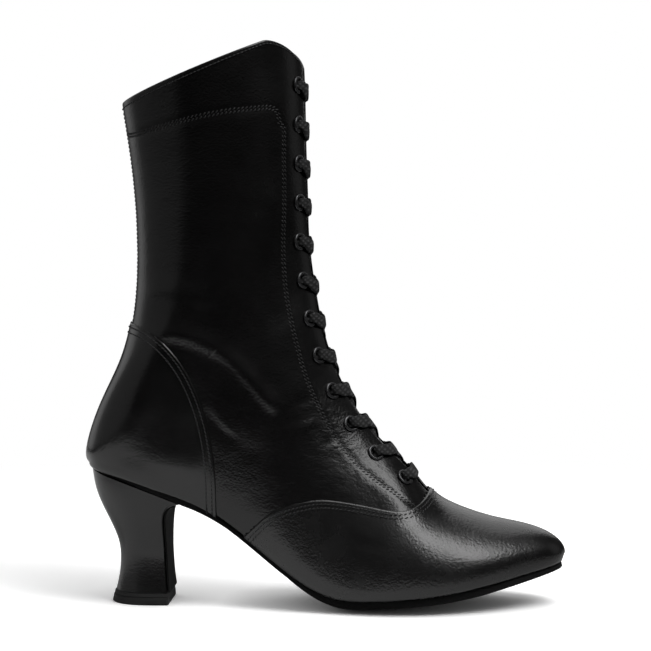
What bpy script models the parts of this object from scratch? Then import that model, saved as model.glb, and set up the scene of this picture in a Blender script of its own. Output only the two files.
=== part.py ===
"""Right-foot lace-up dance boot: a hollow leather upper on a shaped last, a thin sole and a flared heel."""

import math
from collections import namedtuple

import bmesh
import bpy
import numpy as np
from mathutils import Matrix, Vector

# Driving dimensions in millimetres; x runs from the heel back to the toe, -Y is the outer side of the foot
MM = 0.001
LENGTH = 242.4
BALL_WIDTH = 84.0
HEIGHT = 290.0
GAP = 0.3
ORIGIN_X = LENGTH / 2

# Leather thicknesses
UPPER_WALL = 1.9
OVERLAY_WALL = 0.8
TONGUE_WALL = 1.5
COVER_WALL = 0.9
COVER_GAP = 0.4
SEAT_GAP = 0.5

# Sole, insole and heel
TOE_THICKNESS = 2.4
FOREPART_THICKNESS = 4.0
SHANK_THICKNESS = 2.0
BREAST_THICKNESS = 3.2
SEAT_THICKNESS = 1.2
SOLE_CROWN = 3.3
TOE_MARGIN = 1.0
SEAT_MARGIN = 0.3
INSOLE_THICKNESS = 2.0
INSOLE_INSET = 2.7
LIFT_HEIGHT = 6.0
OVERLAY_LIFT = 1.7

# Throat opening, collar corner and tongue
HALF_GAPS = {
    "throat": 8.0,
    "ball": 11.5,
    "waist": 11.3,
    "heel corner": 7.0,
    "counter top": 5.4,
    "collar": 5.2,
}
COLLAR_HALF_GAP = HALF_GAPS["collar"]
CORNER_RUN = 32.0
CORNER_DROP = 0.21
TONGUE_HALF_WIDTH = 18.0
TONGUE_DEPTH = UPPER_WALL + 2.4
TONGUE_TOP_Z = 271.0

# Eyelets and lace
EYELET_PAIRS = 12
EYELET_PITCH = 19.5
EYELET_SETBACK = 9.0
TOP_EYELET_Z = 262.0
HOLE_RADIUS = 3.8
LACE_WIDTH = 5.0
LACE_THICKNESS = 1.0
LACE_OVER = 1.3
LACE_AT_EYELET = 2.4
LACE_UNDER = -3.05

# Sections of the last from the toe, over the foot and up the leg. Each lies in a plane across the boot
# from a keel point (sole edge or back seam) to a ridge point (top of the foot or front of the leg).
# x is in percent of LENGTH, z of HEIGHT, y and half widths of BALL_WIDTH; widest and the two powers
# (times 100) shape the section: how high its widest point is, and how full it is above and below.
SECTION_COLUMNS = "keel_x keel_z ridge_x ridge_z ridge_y outer inner widest top_power low_power"
Section = namedtuple("Section", SECTION_COLUMNS)
SECTIONS = {
    "toe tip":     Section(99.1, 7.45, 99.8, 9.0, 4.8, -4.8, 4.8, 40, 200, 200),
    "toe front":   Section(97.6, 7.1, 98.0, 11.4, 5.0, 9.0, 18.6, 40, 200, 200),
    "toe box":     Section(92.8, 6.3, 92.9, 13.35, 5.4, 21.4, 28.8, 34, 200, 200),
    "vamp":        Section(85.4, 5.1, 85.4, 14.7, 5.4, 35.2, 38.3, 22, 200, 200),
    "vamp top":    Section(77.4, 3.85, 77.7, 16.75, 5.2, 44.8, 46.0, 14, 200, 200),
    "throat":      Section(69.3, 3.0, 72.1, 19.6, 4.8, 49.2, 49.9, 11, 200, 200),
    "ball":        Section(61.1, 2.45, 68.1, 24.3, 4.2, 48.8, 47.6, 9, 195, 200),
    "instep":      Section(52.0, 2.7, 63.1, 29.15, 3.3, 44.0, 42.3, 11, 185, 200),
    "waist":       Section(42.5, 6.85, 58.0, 34.8, 2.4, 39.3, 36.9, 15, 182, 200),
    "shank":       Section(33.0, 13.15, 53.9, 40.6, 1.7, 36.9, 35.1, 27, 190, 230),
    "breast":      Section(23.9, 18.2, 51.1, 46.0, 1.1, 36.9, 35.7, 38, 200, 280),
    "heel seat":   Section(14.4, 21.3, 49.3, 51.2, 0.6, 37.5, 36.9, 45, 210, 280),
    "heel rear":   Section(5.8, 23.4, 48.3, 55.7, 0.2, 38.1, 37.5, 46, 210, 255),
    "heel corner": Section(0.85, 24.7, 47.6, 59.3, 0.0, 38.7, 38.1, 47, 210, 245),
    "heel back":   Section(0.35, 27.1, 47.0, 63.4, 0.0, 39.3, 38.7, 47, 210, 245),
    "counter":     Section(2.7, 34.1, 46.6, 69.0, 0.0, 39.9, 39.3, 47, 210, 240),
    "counter top": Section(7.2, 42.4, 46.35, 74.8, 0.0, 40.5, 39.9, 48, 205, 230),
    "ankle":       Section(9.9, 51.4, 46.1, 81.0, 0.0, 41.7, 41.1, 49, 200, 215),
    "leg":         Section(10.6, 61.4, 45.9, 87.9, 0.0, 43.5, 42.9, 50, 200, 205),
    "cuff":        Section(9.8, 74.1, 45.6, 94.1, 0.0, 45.2, 44.6, 50, 200, 200),
    "collar":      Section(7.5, 87.4, 45.1, 100.0, 0.0, 47.0, 46.4, 50, 200, 200),
}
SECTION_UNITS = np.array([LENGTH, HEIGHT, LENGTH, HEIGHT] + 3 * [BALL_WIDTH] + 3 * [1]) / 100
POSITION_COLUMNS = 7

# Outline of the sole edge: x in percent of LENGTH, half widths in percent of BALL_WIDTH
OutlineRow = namedtuple("OutlineRow", "x outer inner")
SOLE_OUTLINE = (
    OutlineRow(0.85, 0.0, 0.0),
    OutlineRow(8.2, 28.1, 27.5),
    OutlineRow(14.8, 32.4, 31.3),
    OutlineRow(23.9, 30.2, 26.9),
    OutlineRow(33.0, 28.3, 23.6),
    OutlineRow(42.5, 31.3, 26.5),
    OutlineRow(52.0, 37.9, 34.5),
    OutlineRow(61.1, 43.2, 41.7),
    OutlineRow(69.3, 44.3, 44.4),
    OutlineRow(77.4, 39.8, 41.1),
    OutlineRow(85.4, 30.7, 34.0),
    OutlineRow(92.8, 17.6, 25.0),
    OutlineRow(97.0, 7.6, 17.1),
    OutlineRow(99.0, -4.8, 4.8),
)

# Heel block: rise is the share of the way from the top lift to the seat; the rest is in millimetres
HeelRow = namedtuple("HeelRow", "rise back breast half_width")
HEEL_ROWS = (
    HeelRow(0.00, 13.8, 41.8, 16.2),
    HeelRow(0.125, 15.4, 41.1, 15.2),
    HeelRow(0.28, 16.1, 40.6, 14.4),
    HeelRow(0.41, 15.3, 40.3, 14.5),
    HeelRow(0.565, 11.6, 40.1, 17.0),
    HeelRow(0.70, 7.4, 40.1, 20.6),
    HeelRow(0.81, 4.4, 40.8, 23.6),
    HeelRow(0.90, 2.9, 43.0, 25.6),
    HeelRow(1.00, 1.9, 49.0, 27.0),
)

# Seams in side view: the wing edge of the vamp, from the sole at VAMP_START_X to the throat
VAMP_START_X = 81.5
SeamPoint = namedtuple("SeamPoint", "x z")
VAMP_SEAM = (
    SeamPoint(89.0, 42.5),
    SeamPoint(101.0, 50.6),
    SeamPoint(120.0, 54.2),
    SeamPoint(140.0, 50.8),
    SeamPoint(158.0, 48.4),
    SeamPoint(168.0, 49.8),
    SeamPoint(173.5, 53.6),
    SeamPoint(177.0, 60.0),
)
COUNTER_TOP_Z = 141.0
COUNTER_FRONT_X = 65.5
COUNTER_BEND_Z = 60.0

# Mesh resolution
TOE_ROWS = 8
FOOT_ROWS = 14
LEG_ROWS = 10
SIDE_COLUMNS = 11
PROFILE_STEPS = 40
SOLE_COLUMNS = 7
HEEL_RISES = np.concatenate([np.linspace(0, 0.9, 11), [0.95, 1.0]])
EYELET_STEPS = 8


# Splines and the last

def natural_spline(knots, rows):
    """Natural cubic spline through one row of values at each knot, returned as a function."""
    count = len(knots)
    span = np.diff(knots)
    slope = np.diff(rows, axis=0) / span[:, None]
    system = np.eye(count)
    target = np.zeros_like(rows)
    for i in range(1, count - 1):
        system[i, i - 1:i + 2] = span[i - 1], 2 * (span[i - 1] + span[i]), span[i]
        target[i] = 6 * (slope[i] - slope[i - 1])
    bend = np.linalg.solve(system, target)

    def value(t):
        i = int(np.clip(np.searchsorted(knots, t) - 1, 0, count - 2))
        after = (t - knots[i]) / span[i]
        before = 1 - after
        cubic = (before ** 3 - before) * bend[i] + (after ** 3 - after) * bend[i + 1]
        return before * rows[i] + after * rows[i + 1] + cubic * span[i] ** 2 / 6

    return value


def last_spline():
    """Spline through the sections, with the toe row mirrored ahead so that the toe closes round."""
    rows = np.array([tuple(section) for section in SECTIONS.values()]) * SECTION_UNITS
    steps = np.linalg.norm(np.diff(rows[:, :POSITION_COLUMNS], axis=0), axis=1)
    knots = np.concatenate([[0.0], np.cumsum(steps)])
    ahead = 2 * rows[0] - rows[1]
    ahead[[0, 2]] = rows[1, [0, 2]]
    spline = natural_spline(np.concatenate([[-knots[1]], knots]), np.vstack([ahead, rows]))
    return spline, dict(zip(SECTIONS, knots))


LAST, STATION = last_spline()
TOE = STATION["toe tip"]
THROAT = STATION["throat"]
HEEL_CORNER = STATION["heel corner"]
COLLAR = STATION["collar"]


def outline_spline():
    """Half widths of the sole edge over an angle that runs from the heel back (0) to the toe (pi)."""
    units = np.array([LENGTH, BALL_WIDTH, BALL_WIDTH]) / 100
    rows = np.array([tuple(row) for row in SOLE_OUTLINE]) * units
    start, end = rows[0, 0], rows[-1, 0]
    angles = np.arccos(1 - 2 * (rows[:, 0] - start) / (end - start))
    return natural_spline(angles, rows[:, 1:]), start, end


OUTLINE, SOLE_START, SOLE_END = outline_spline()


def outline_angle(x):
    """Angle of the outline spline at a distance along the foot."""
    share = np.clip((x - SOLE_START) / (SOLE_END - SOLE_START), 0, 1)
    return math.acos(1 - 2 * share)


def half_girth(t, side):
    """Points down one half of a section, from its ridge to its keel; side is -1 outer or 1 inner."""
    s = Section(*LAST(t))
    widest = side * (s.outer if side < 0 else s.inner)
    foot = side * OUTLINE(outline_angle(s.keel_x))[0 if side < 0 else 1] if t < HEEL_CORNER else 0.0
    angle = np.linspace(math.pi / 2, -math.pi / 2, 2 * PROFILE_STEPS + 1)
    cosine = np.clip(np.cos(angle), 0, 1)
    sine = np.abs(np.sin(angle))
    above_y = s.ridge_y + (widest - s.ridge_y) * cosine ** (2 / s.top_power)
    below_y = foot + (widest - foot) * cosine ** (2 / s.low_power)
    above_rise = s.widest + (1 - s.widest) * sine ** (2 / s.top_power)
    below_rise = s.widest * (1 - sine ** (2 / s.low_power))
    y = np.where(angle >= 0, above_y, below_y)
    rise = np.where(angle >= 0, above_rise, below_rise)
    x = s.keel_x + rise * (s.ridge_x - s.keel_x)
    z = s.keel_z + rise * (s.ridge_z - s.keel_z)
    return np.column_stack([x, y, z])


def run_length(points):
    """Distance along a line of points, from its first point."""
    return np.concatenate([[0.0], np.cumsum(np.linalg.norm(np.diff(points, axis=0), axis=1))])


def point_along(points, distance):
    """Point at a distance along a line of points."""
    run = run_length(points)
    return np.array([np.interp(distance, run, points[:, axis]) for axis in range(3)])


def skin(t, arc):
    """Point on the outside of the upper; arc is the distance from the ridge, negative on the outer side."""
    return point_along(half_girth(t, -1 if arc < 0 else 1), abs(arc))


def skin_normal(t, arc):
    """Outward unit normal of the upper."""
    step = 2.0
    along = skin(t + step, arc) - skin(t - step, arc)
    across = skin(t, arc + step) - skin(t, arc - step)
    normal = np.cross(across, along)
    return normal / np.linalg.norm(normal)


def half_gap(t):
    """Half width of the lacing opening."""
    return np.interp(t, [STATION[name] for name in HALF_GAPS], list(HALF_GAPS.values()))


def sample_line(column, count=400):
    """Station and value of one section column, sampled from the toe to the collar."""
    stations = np.linspace(TOE, COLLAR, count)
    return stations, np.array([getattr(Section(*LAST(t)), column) for t in stations])


def feather_line():
    """Height of the sole edge along the foot, sampled from the heel to the toe."""
    stations = np.linspace(HEEL_CORNER, TOE, 300)
    keel = np.array([LAST(t)[:2] for t in stations])
    return keel[:, 0], keel[:, 1]


FEATHER_X, FEATHER_Z = feather_line()


def feather_z(x):
    """Height of the sole edge, carried on straight past both ends."""
    low, high = FEATHER_X[0], FEATHER_X[-1]
    heel_slope = (FEATHER_Z[20] - FEATHER_Z[0]) / (FEATHER_X[20] - low)
    toe_slope = (FEATHER_Z[-1] - FEATHER_Z[-40]) / (high - FEATHER_X[-40])
    past = heel_slope * min(x - low, 0) + toe_slope * max(x - high, 0)
    return np.interp(x, FEATHER_X, FEATHER_Z) + past


def feather_normal(x):
    """Upward unit normal of the sole in side view."""
    slope = (feather_z(x + 2) - feather_z(x - 2)) / 4
    return np.array([-slope, 0.0, 1.0]) / math.hypot(slope, 1)


# Scene helpers

def clear_scene():
    """Remove every object so that the script builds the same parts each time."""
    for old in list(bpy.data.objects):
        bpy.data.objects.remove(old, do_unlink=True)


def make_collection(name, hidden=False):
    """Collection linked to the scene."""
    collection = bpy.data.collections.new(name)
    bpy.context.scene.collection.children.link(collection)
    collection.hide_render = hidden
    return collection


def make_look(name, colour, roughness, metallic=0.0):
    """Plain Principled material."""
    look = bpy.data.materials.new(name)
    look.use_nodes = True
    shader = look.node_tree.nodes["Principled BSDF"]
    shader.inputs["Base Color"].default_value = (*colour, 1.0)
    shader.inputs["Roughness"].default_value = roughness
    shader.inputs["Metallic"].default_value = metallic
    look.diffuse_color = (*colour, 1.0)
    return look


def to_world(point):
    """Millimetres along the last to metres about the middle of the boot."""
    return Vector(((point[0] - ORIGIN_X) * MM, point[1] * MM, point[2] * MM))


def make_mesh(name, points, faces, outward=True):
    """Mesh from points in millimetres, with coincident points welded."""
    mesh = bpy.data.meshes.new(name)
    mesh.from_pydata([to_world(p) for p in points], [], faces)
    shape = bmesh.new()
    shape.from_mesh(mesh)
    bmesh.ops.remove_doubles(shape, verts=shape.verts, dist=1e-6)
    if outward:
        bmesh.ops.recalc_face_normals(shape, faces=shape.faces)
    shape.to_mesh(mesh)
    shape.free()
    mesh.polygons.foreach_set("use_smooth", [True] * len(mesh.polygons))
    return mesh


def add_part(name, mesh, look):
    """Object of the boot with its own material."""
    part = bpy.data.objects.new(name, mesh)
    if look.name not in [m.name for m in mesh.materials]:
        mesh.materials.append(look)
    BOOT.objects.link(part)
    return part


def add_cutter(name, mesh):
    """Object that only cuts others."""
    cutter = bpy.data.objects.new(name, mesh)
    cutter.display_type = "WIRE"
    cutter.hide_render = True
    CUTTERS.objects.link(cutter)
    return cutter


def add_shell(part, thickness, offset):
    """Give an open surface its wall; offset -1 grows it inward and 1 outward."""
    shell = part.modifiers.new("wall", "SOLIDIFY")
    shell.thickness = thickness * MM
    shell.offset = offset
    shell.use_even_offset = False


def add_boolean(part, operation, cutter):
    """Exact Boolean with one cutter."""
    step = part.modifiers.new(operation.lower(), "BOOLEAN")
    step.operation = operation
    step.solver = "EXACT"
    step.object = cutter


def grid_faces(rows, columns, skip=lambda i, j: False):
    """Quads of a grid whose points run row by row."""
    faces = []
    for i in range(rows - 1):
        for j in range(columns - 1):
            if not skip(i, j):
                a = i * columns + j
                b = a + columns
                faces.append((a, a + 1, b + 1, b))
    return faces


def loft(name, rings):
    """Closed solid through rings of equal count, capped at both ends."""
    count = len(rings[0])
    faces = []
    for i in range(len(rings) - 1):
        for j in range(count):
            a = i * count + j
            b = i * count + (j + 1) % count
            faces.append((a, b, b + count, a + count))
    last = (len(rings) - 1) * count
    faces.append(tuple(range(count)))
    faces.append(tuple(range(last, last + count)))
    return make_mesh(name, [p for ring in rings for p in ring], faces)


def side_prism(name, outline):
    """Cutter across the boot from an outline in side view."""
    half = BALL_WIDTH
    rings = [[(x, y, z) for x, z in outline] for y in (-half, half)]
    return add_cutter(name, loft(name, rings))


# Upper

def upper_stations():
    """Stations of the grid rows, close together at the heel corner where the sole edge turns."""
    toe = np.linspace(TOE, THROAT, TOE_ROWS, endpoint=False)
    run = 1 - (1 - np.linspace(0, 1, FOOT_ROWS, endpoint=False)) ** 1.35
    foot = THROAT + run * (HEEL_CORNER - THROAT)
    leg = np.linspace(HEEL_CORNER, COLLAR, LEG_ROWS + 1)
    return np.concatenate([toe, foot, leg])


def collar_share(arc):
    """Share of the leg height kept at a distance from the facing edge, for a round front corner."""
    run = np.clip((arc - COLLAR_HALF_GAP) / CORNER_RUN, 0, 1)
    return 1 - CORNER_DROP * (1 - run) ** 1.5


def upper_point(station, column):
    """Grid point of the upper: column 0 is the ridge, 1 the facing edge, then on to the keel."""
    side = -1 if column < 0 else 1
    count = abs(column)
    edge = half_gap(station)
    run = (max(count, 1) - 1) / SIDE_COLUMNS
    spread = 0.5 * run + 0.25 * (1 - math.cos(math.pi * run))
    t = station
    if station > HEEL_CORNER:
        collar_length = run_length(half_girth(COLLAR, side))[-1]
        arc = edge + spread * (collar_length - edge) if count else 0.0
        t = HEEL_CORNER + (station - HEEL_CORNER) * collar_share(arc)
    line = half_girth(t, side)
    length = run_length(line)[-1]
    edge = min(edge, 0.12 * length)
    return point_along(line, edge + spread * (length - edge) if count else 0.0)


def upper_surface(name):
    """Outer face of the upper as an open grid, without the lacing opening."""
    stations = upper_stations()
    columns = range(-SIDE_COLUMNS - 1, SIDE_COLUMNS + 2)
    points = [upper_point(t, c) for t in stations for c in columns]
    ridge = SIDE_COLUMNS + 1

    def in_opening(i, j):
        return stations[i] >= THROAT and j in (ridge - 1, ridge)

    faces = grid_faces(len(stations), len(columns), in_opening)
    mesh = make_mesh(name, points, faces, outward=False)
    shape = bmesh.new()
    shape.from_mesh(mesh)
    loose = [v for v in shape.verts if not v.link_faces]
    bmesh.ops.delete(shape, geom=loose, context="VERTS")
    bmesh.ops.triangulate(shape, faces=shape.faces)
    shape.to_mesh(mesh)
    shape.free()
    return mesh


def build_upper(look):
    """Quarters and vamp lining as one hollow wall, pierced for the eyelets."""
    upper = add_part("upper", upper_surface("upper"), look)
    add_shell(upper, UPPER_WALL, -1)
    holes = bmesh.new()
    for place in eyelet_places():
        bmesh.ops.create_cone(holes, cap_ends=True, segments=EYELET_STEPS, radius1=HOLE_RADIUS * MM,
                              radius2=HOLE_RADIUS * MM, depth=12 * MM, matrix=place)
    mesh = bpy.data.meshes.new("eyelet_holes")
    holes.to_mesh(mesh)
    holes.free()
    add_boolean(upper, "DIFFERENCE", add_cutter("eyelet_holes", mesh))


def add_overlay(name, look, outline):
    """Panel laid on the upper: its surface lifted clear, given a wall and cut to a side-view outline."""
    panel = add_part(name, upper_surface(name), look)
    lift = panel.modifiers.new("lift", "DISPLACE")
    lift.strength = GAP * MM
    lift.mid_level = 0.0
    add_shell(panel, OVERLAY_WALL, 1)
    add_boolean(panel, "INTERSECT", side_prism(name + "_outline", outline))


def build_vamp(look):
    """Vamp and toe in one panel, with winged edges low on the quarters."""
    start = SeamPoint(VAMP_START_X, feather_z(VAMP_START_X) + OVERLAY_LIFT + GAP)
    points = np.array([tuple(p) for p in (start,) + VAMP_SEAM])
    run = run_length(points)
    seam = natural_spline(run, points)
    edge = [tuple(seam(d)) for d in np.linspace(0, run[-1], 22)]
    toe = LENGTH + 10
    floor = [(x, feather_z(x) + OVERLAY_LIFT) for x in np.linspace(toe, edge[0][0], 28)]
    add_overlay("vamp", look, edge + [(toe, edge[-1][1])] + floor)


def build_counter(look):
    """Heel counter: a quarter ellipse from the back seam to the sole."""
    back = LAST(STATION["ankle"])[0] - 1.0
    reach = COUNTER_FRONT_X - back
    rise = COUNTER_TOP_Z - COUNTER_BEND_Z
    edge = []
    for angle in np.linspace(0, math.pi / 2, 16):
        edge.append((back + reach * math.cos(angle), COUNTER_BEND_Z + rise * math.sin(angle)))
    heel = -12.0
    floor = [(x, feather_z(x) + OVERLAY_LIFT) for x in np.linspace(heel, COUNTER_FRONT_X, 14)]
    add_overlay("heel_counter", look, edge + [(heel, COUNTER_TOP_Z)] + floor)


def build_tongue(look):
    """Soft tongue under the lacing opening, tucked under the vamp at its lower end."""
    stations, heights = sample_line("ridge_z")
    top = np.interp(TONGUE_TOP_Z, heights[stations >= THROAT], stations[stations >= THROAT])
    points = []
    rows = np.concatenate([[THROAT - 16, THROAT - 9, THROAT - 2], np.linspace(THROAT + 7, top, 17)])
    columns = np.linspace(-1, 1, 7)
    for t in rows:
        spread = np.interp(t, [THROAT - 16, THROAT + 40], [0.6, 1.0])
        depth = np.interp(t, [THROAT - 2, THROAT + 7], [UPPER_WALL + GAP + 0.2, TONGUE_DEPTH])
        rounded = np.interp(t, [top - 12, top], [1.0, 0.72])
        for c in columns:
            arc = c * TONGUE_HALF_WIDTH * spread * rounded
            points.append(skin(t, arc) - depth * skin_normal(t, arc))
    mesh = make_mesh("tongue", points, grid_faces(len(rows), len(columns)), outward=False)
    add_shell(add_part("tongue", mesh, look), TONGUE_WALL, -1)


# Sole, insole and heel

def sole_plate(name, margins, top, thickness):
    """Closed plate along the sole edge, widened by margins at heel and toe; thickness is along its normal."""
    start = SOLE_START - margins[0]
    end = SOLE_END + margins[1]
    rings = []
    for t in reversed([t for t in upper_stations() if t <= HEEL_CORNER]):
        angle = outline_angle(LAST(t)[0])
        share = (1 - math.cos(angle)) / 2
        x = start + share * (end - start)
        margin = np.interp(share, [0.15, 0.5], margins) * min(1, 3 * math.sin(angle))
        outer, inner = OUTLINE(angle) + margin
        up = feather_normal(x)
        upper_side = []
        lower_side = []
        for across in np.linspace(-1, 1, SOLE_COLUMNS):
            edge = np.array([x, (inner - outer) / 2 + across * (inner + outer) / 2, feather_z(x)])
            upper_side.append(edge + top * up)
            lower_side.append(edge + (top - thickness(x, across)) * up)
        rings.append(upper_side + lower_side[::-1])
    return loft(name, rings)


def edge_thickness(x):
    """Thickness of the outsole at its edge, thin at both ends and along the shank."""
    back = [SEAT_THICKNESS, BREAST_THICKNESS, SHANK_THICKNESS, SHANK_THICKNESS]
    front = [FOREPART_THICKNESS, FOREPART_THICKNESS, TOE_THICKNESS]
    return np.interp(x, [5, 52, 74, 105, 130, 200, SOLE_END], back + front)


def outsole_thickness(x, across):
    """Edge thickness, with the forepart crowned towards its middle."""
    edge = edge_thickness(x)
    crown = np.interp(x, [105, 135, 165, SOLE_END], [0, SOLE_CROWN, SOLE_CROWN, 0])
    return edge + crown * (1 - across ** 2)


def build_outsole(look):
    """Full-length sole, trimmed to stand on a flat spot under the ball."""
    plate = sole_plate("outsole", (SEAT_MARGIN, TOE_MARGIN), -GAP, outsole_thickness)
    outsole = add_part("outsole", plate, look)
    depth = 10.0
    rings = []
    for z in (-depth, 0.0):
        back = [(-depth, -BALL_WIDTH, z), (-depth, BALL_WIDTH, z)]
        front = [(LENGTH, BALL_WIDTH, z), (LENGTH, -BALL_WIDTH, z)]
        rings.append(back + front)
    add_boolean(outsole, "DIFFERENCE", add_cutter("floor_trim", loft("floor_trim", rings)))


def build_insole(look):
    """Insole inside the lasted edge."""
    def even_thickness(x, across):
        return INSOLE_THICKNESS

    margins = (-INSOLE_INSET, -INSOLE_INSET)
    add_part("insole", sole_plate("insole", margins, INSOLE_THICKNESS, even_thickness), look)


def heel_row(rise):
    """Heel sizes at a share of its height."""
    table = np.array([tuple(row) for row in HEEL_ROWS])
    return HeelRow(rise, *natural_spline(table[:, 0], table[:, 1:])(rise))


def seat_z(x):
    """Underside of the sole on the heel, less the fitting gap."""
    return feather_z(x) - (GAP + edge_thickness(x) + SEAT_GAP) / feather_normal(x)[2]


def heel_z(rise, x):
    """Height on the heel block at a share of the way to the inclined seat."""
    low = LIFT_HEIGHT + GAP
    return low + rise * (seat_z(x) - low)


def heel_ring(row):
    """Plan outline of the heel at one height: round at the back, straight sides, flat breast."""
    length = row.breast - row.back
    half = []
    for angle in np.linspace(0, math.pi / 2, 7):
        half.append((row.back + 0.6 * length * (1 - math.cos(angle)), row.half_width * math.sin(angle)))
    half.append((row.back + 0.82 * length, row.half_width * 0.995))
    half.append((row.breast - 0.5, row.half_width * 0.97))
    half.append((row.breast, row.half_width * 0.9))
    return half + [(x, -y) for x, y in reversed(half[1:])]


def build_heel(look):
    """Covered heel block with a waist, from the top lift to the seat."""
    rings = []
    for rise in HEEL_RISES:
        rings.append([(x, y, heel_z(rise, x)) for x, y in heel_ring(heel_row(rise))])
    add_part("heel", loft("heel", rings), look)


def build_breast_cover(look):
    """Thin cover on the front of the heel."""
    points = []
    rises = HEEL_RISES[:-1]
    for rise in rises:
        row = heel_row(rise)
        for y in np.linspace(-1, 1, 4) * row.half_width * 0.88:
            points.append((row.breast + COVER_GAP, y, heel_z(rise, row.breast)))
    mesh = make_mesh("heel_breast_cover", points, grid_faces(len(rises), 4), outward=False)
    add_shell(add_part("heel_breast_cover", mesh, look), COVER_WALL, 1)


def build_top_lift(look):
    """Walking piece under the heel, a little wider at the floor."""
    floor = HeelRow(0, 11.9, 42.4, 16.9)
    top = HeelRow(0, 13.4, 42.0, 16.4)
    rings = [[(x, y, z) for x, y in heel_ring(row)] for row, z in ((floor, 0.0), (top, LIFT_HEIGHT))]
    add_part("top_lift", loft("top_lift", rings), look)


# Eyelets and lace

def eyelet_stations():
    """Stations of the eyelets from the top pair to the bottom pair, evenly spaced along the facing."""
    stations = np.linspace(THROAT, COLLAR, 240)
    line = np.array([skin(t, half_gap(t) + EYELET_SETBACK) for t in stations])
    run = run_length(line)
    top = np.interp(TOP_EYELET_Z, line[:, 2], run)
    return [float(np.interp(top - k * EYELET_PITCH, run, stations)) for k in range(EYELET_PAIRS)]


EYELETS = eyelet_stations()


def eyelet_places():
    """World matrix of each eyelet, its own Z pointing out of the leather."""
    places = []
    for side in (-1, 1):
        for t in EYELETS:
            arc = side * (half_gap(t) + EYELET_SETBACK)
            turn = Vector(skin_normal(t, arc)).to_track_quat("Z", "Y")
            places.append(Matrix.LocRotScale(to_world(skin(t, arc)), turn, None))
    return places


def build_eyelets(look):
    """Rolled metal eyelets: a flange on the leather and a barrel in the hole."""
    profile = [(4.6, 0.5), (3.1, 0.5), (3.1, -1.5), (2.6, -1.5), (3.2, 1.2)]
    mesh = bpy.data.meshes.new("eyelet")
    count = len(profile)
    corners = [(radius * MM, 0.0, z * MM) for radius, z in profile]
    mesh.from_pydata(corners, [(i, (i + 1) % count) for i in range(count)], [])
    for number, place in enumerate(eyelet_places()):
        row = number % EYELET_PAIRS + 1
        side = "outer" if number < EYELET_PAIRS else "inner"
        eyelet = add_part(f"eyelet_{side}_{row:02d}", mesh, look)
        eyelet.matrix_world = place
        turn = eyelet.modifiers.new("turn", "SCREW")
        turn.axis = "Z"
        turn.steps = EYELET_STEPS
        turn.render_steps = EYELET_STEPS
        turn.use_merge_vertices = True
        turn.merge_threshold = 1e-5
        turn.use_smooth_shade = True


def lace_point(t, arc, height):
    """Point at a height above the leather."""
    return skin(t, arc) + height * skin_normal(t, arc)


def lace_edge(t, arc, height, t_step, arc_step):
    """The four corners of a lace section; the steps lead from its centre to its two long edges."""
    corners = []
    for lift in (LACE_THICKNESS / 2, -LACE_THICKNESS / 2):
        for sign in (-1, 1):
            corners.append(lace_point(t + sign * t_step, arc + sign * arc_step, height + lift))
    return corners


def lace_arm(points, faces, start, sections):
    """Carry a lace on from four points already in the mesh through more sections and close its end."""
    before = start
    for section in sections:
        first = len(points)
        points.extend(section)
        after = [first, first + 1, first + 2, first + 3]
        order = (0, 1, 3, 2)
        for a, b in zip(order, order[1:] + order[:1]):
            faces.append((before[a], before[b], after[b], after[a]))
        before = after
    faces.append((before[0], before[1], before[3], before[2]))


def build_lace_cross(number, upper_t, lower_t, look):
    """Two lace runs crossing between one eyelet pair and the next, joined where they cross."""
    middle = (upper_t + lower_t) / 2
    rise = (upper_t - lower_t) / 2
    reach = half_gap(middle) + EYELET_SETBACK
    along = np.linalg.norm(skin(upper_t, 0.0) - skin(lower_t, 0.0)) / 2
    tilt = math.atan2(along, reach)
    t_per_mm = rise / along
    centre = (LACE_OVER + LACE_UNDER) / 2
    top_corner = LACE_WIDTH / 2 / math.cos(tilt) * t_per_mm
    side_corner = LACE_WIDTH / 2 / math.sin(tilt)
    points = []
    for lift in (LACE_THICKNESS / 2, -LACE_THICKNESS / 2):
        for t, arc in ((top_corner, 0), (0, side_corner), (-top_corner, 0), (0, -side_corner)):
            points.append(lace_point(middle + t, arc, centre + lift))
    faces = [(0, 1, 2, 3), (4, 5, 6, 7)]
    t_step = LACE_WIDTH / 2 * math.cos(tilt) * t_per_mm
    arc_step = LACE_WIDTH / 2 * math.sin(tilt)
    edge = (half_gap(middle) - arc_step - GAP) / reach
    for side in (-1, 1):
        for up in (-1, 1):
            heights = (LACE_OVER, LACE_AT_EYELET, LACE_AT_EYELET) if up > 0 else (LACE_UNDER,) * 3
            sections = []
            for share, height in zip((edge, 0.66, 1.0), heights):
                t = middle + up * rise * share
                sections.append(lace_edge(t, side * reach * share, height, t_step, -side * up * arc_step))
            low, high = (2, 1 if side > 0 else 3) if up < 0 else (1 if side > 0 else 3, 0)
            lace_arm(points, faces, [low, high, low + 4, high + 4], sections)
    name = f"lace_cross_{number:02d}"
    add_part(name, make_mesh(name, points, faces), look)


def build_lace_bar(t, t_per_mm, look):
    """Straight run of the lace over the lowest eyelet pair."""
    reach = half_gap(t) + EYELET_SETBACK
    rings = []
    for share in (-1, -0.66, 0, 0.66, 1):
        height = LACE_AT_EYELET if share else LACE_OVER
        a, b, c, d = lace_edge(t, share * reach, height, LACE_WIDTH / 2 * t_per_mm, 0.0)
        rings.append([a, b, d, c])
    add_part("lace_bar", loft("lace_bar", rings), look)


def build_lace(look):
    """Crossed lacing up the front with a bar at the bottom; the ends are hidden inside at the top."""
    for number, (upper_t, lower_t) in enumerate(zip(EYELETS, EYELETS[1:]), start=1):
        build_lace_cross(number, upper_t, lower_t, look)
    build_lace_bar(EYELETS[-1], (EYELETS[-2] - EYELETS[-1]) / EYELET_PITCH, look)


clear_scene()
BOOT = make_collection("dance_boot")
CUTTERS = make_collection("cutters", hidden=True)

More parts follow.
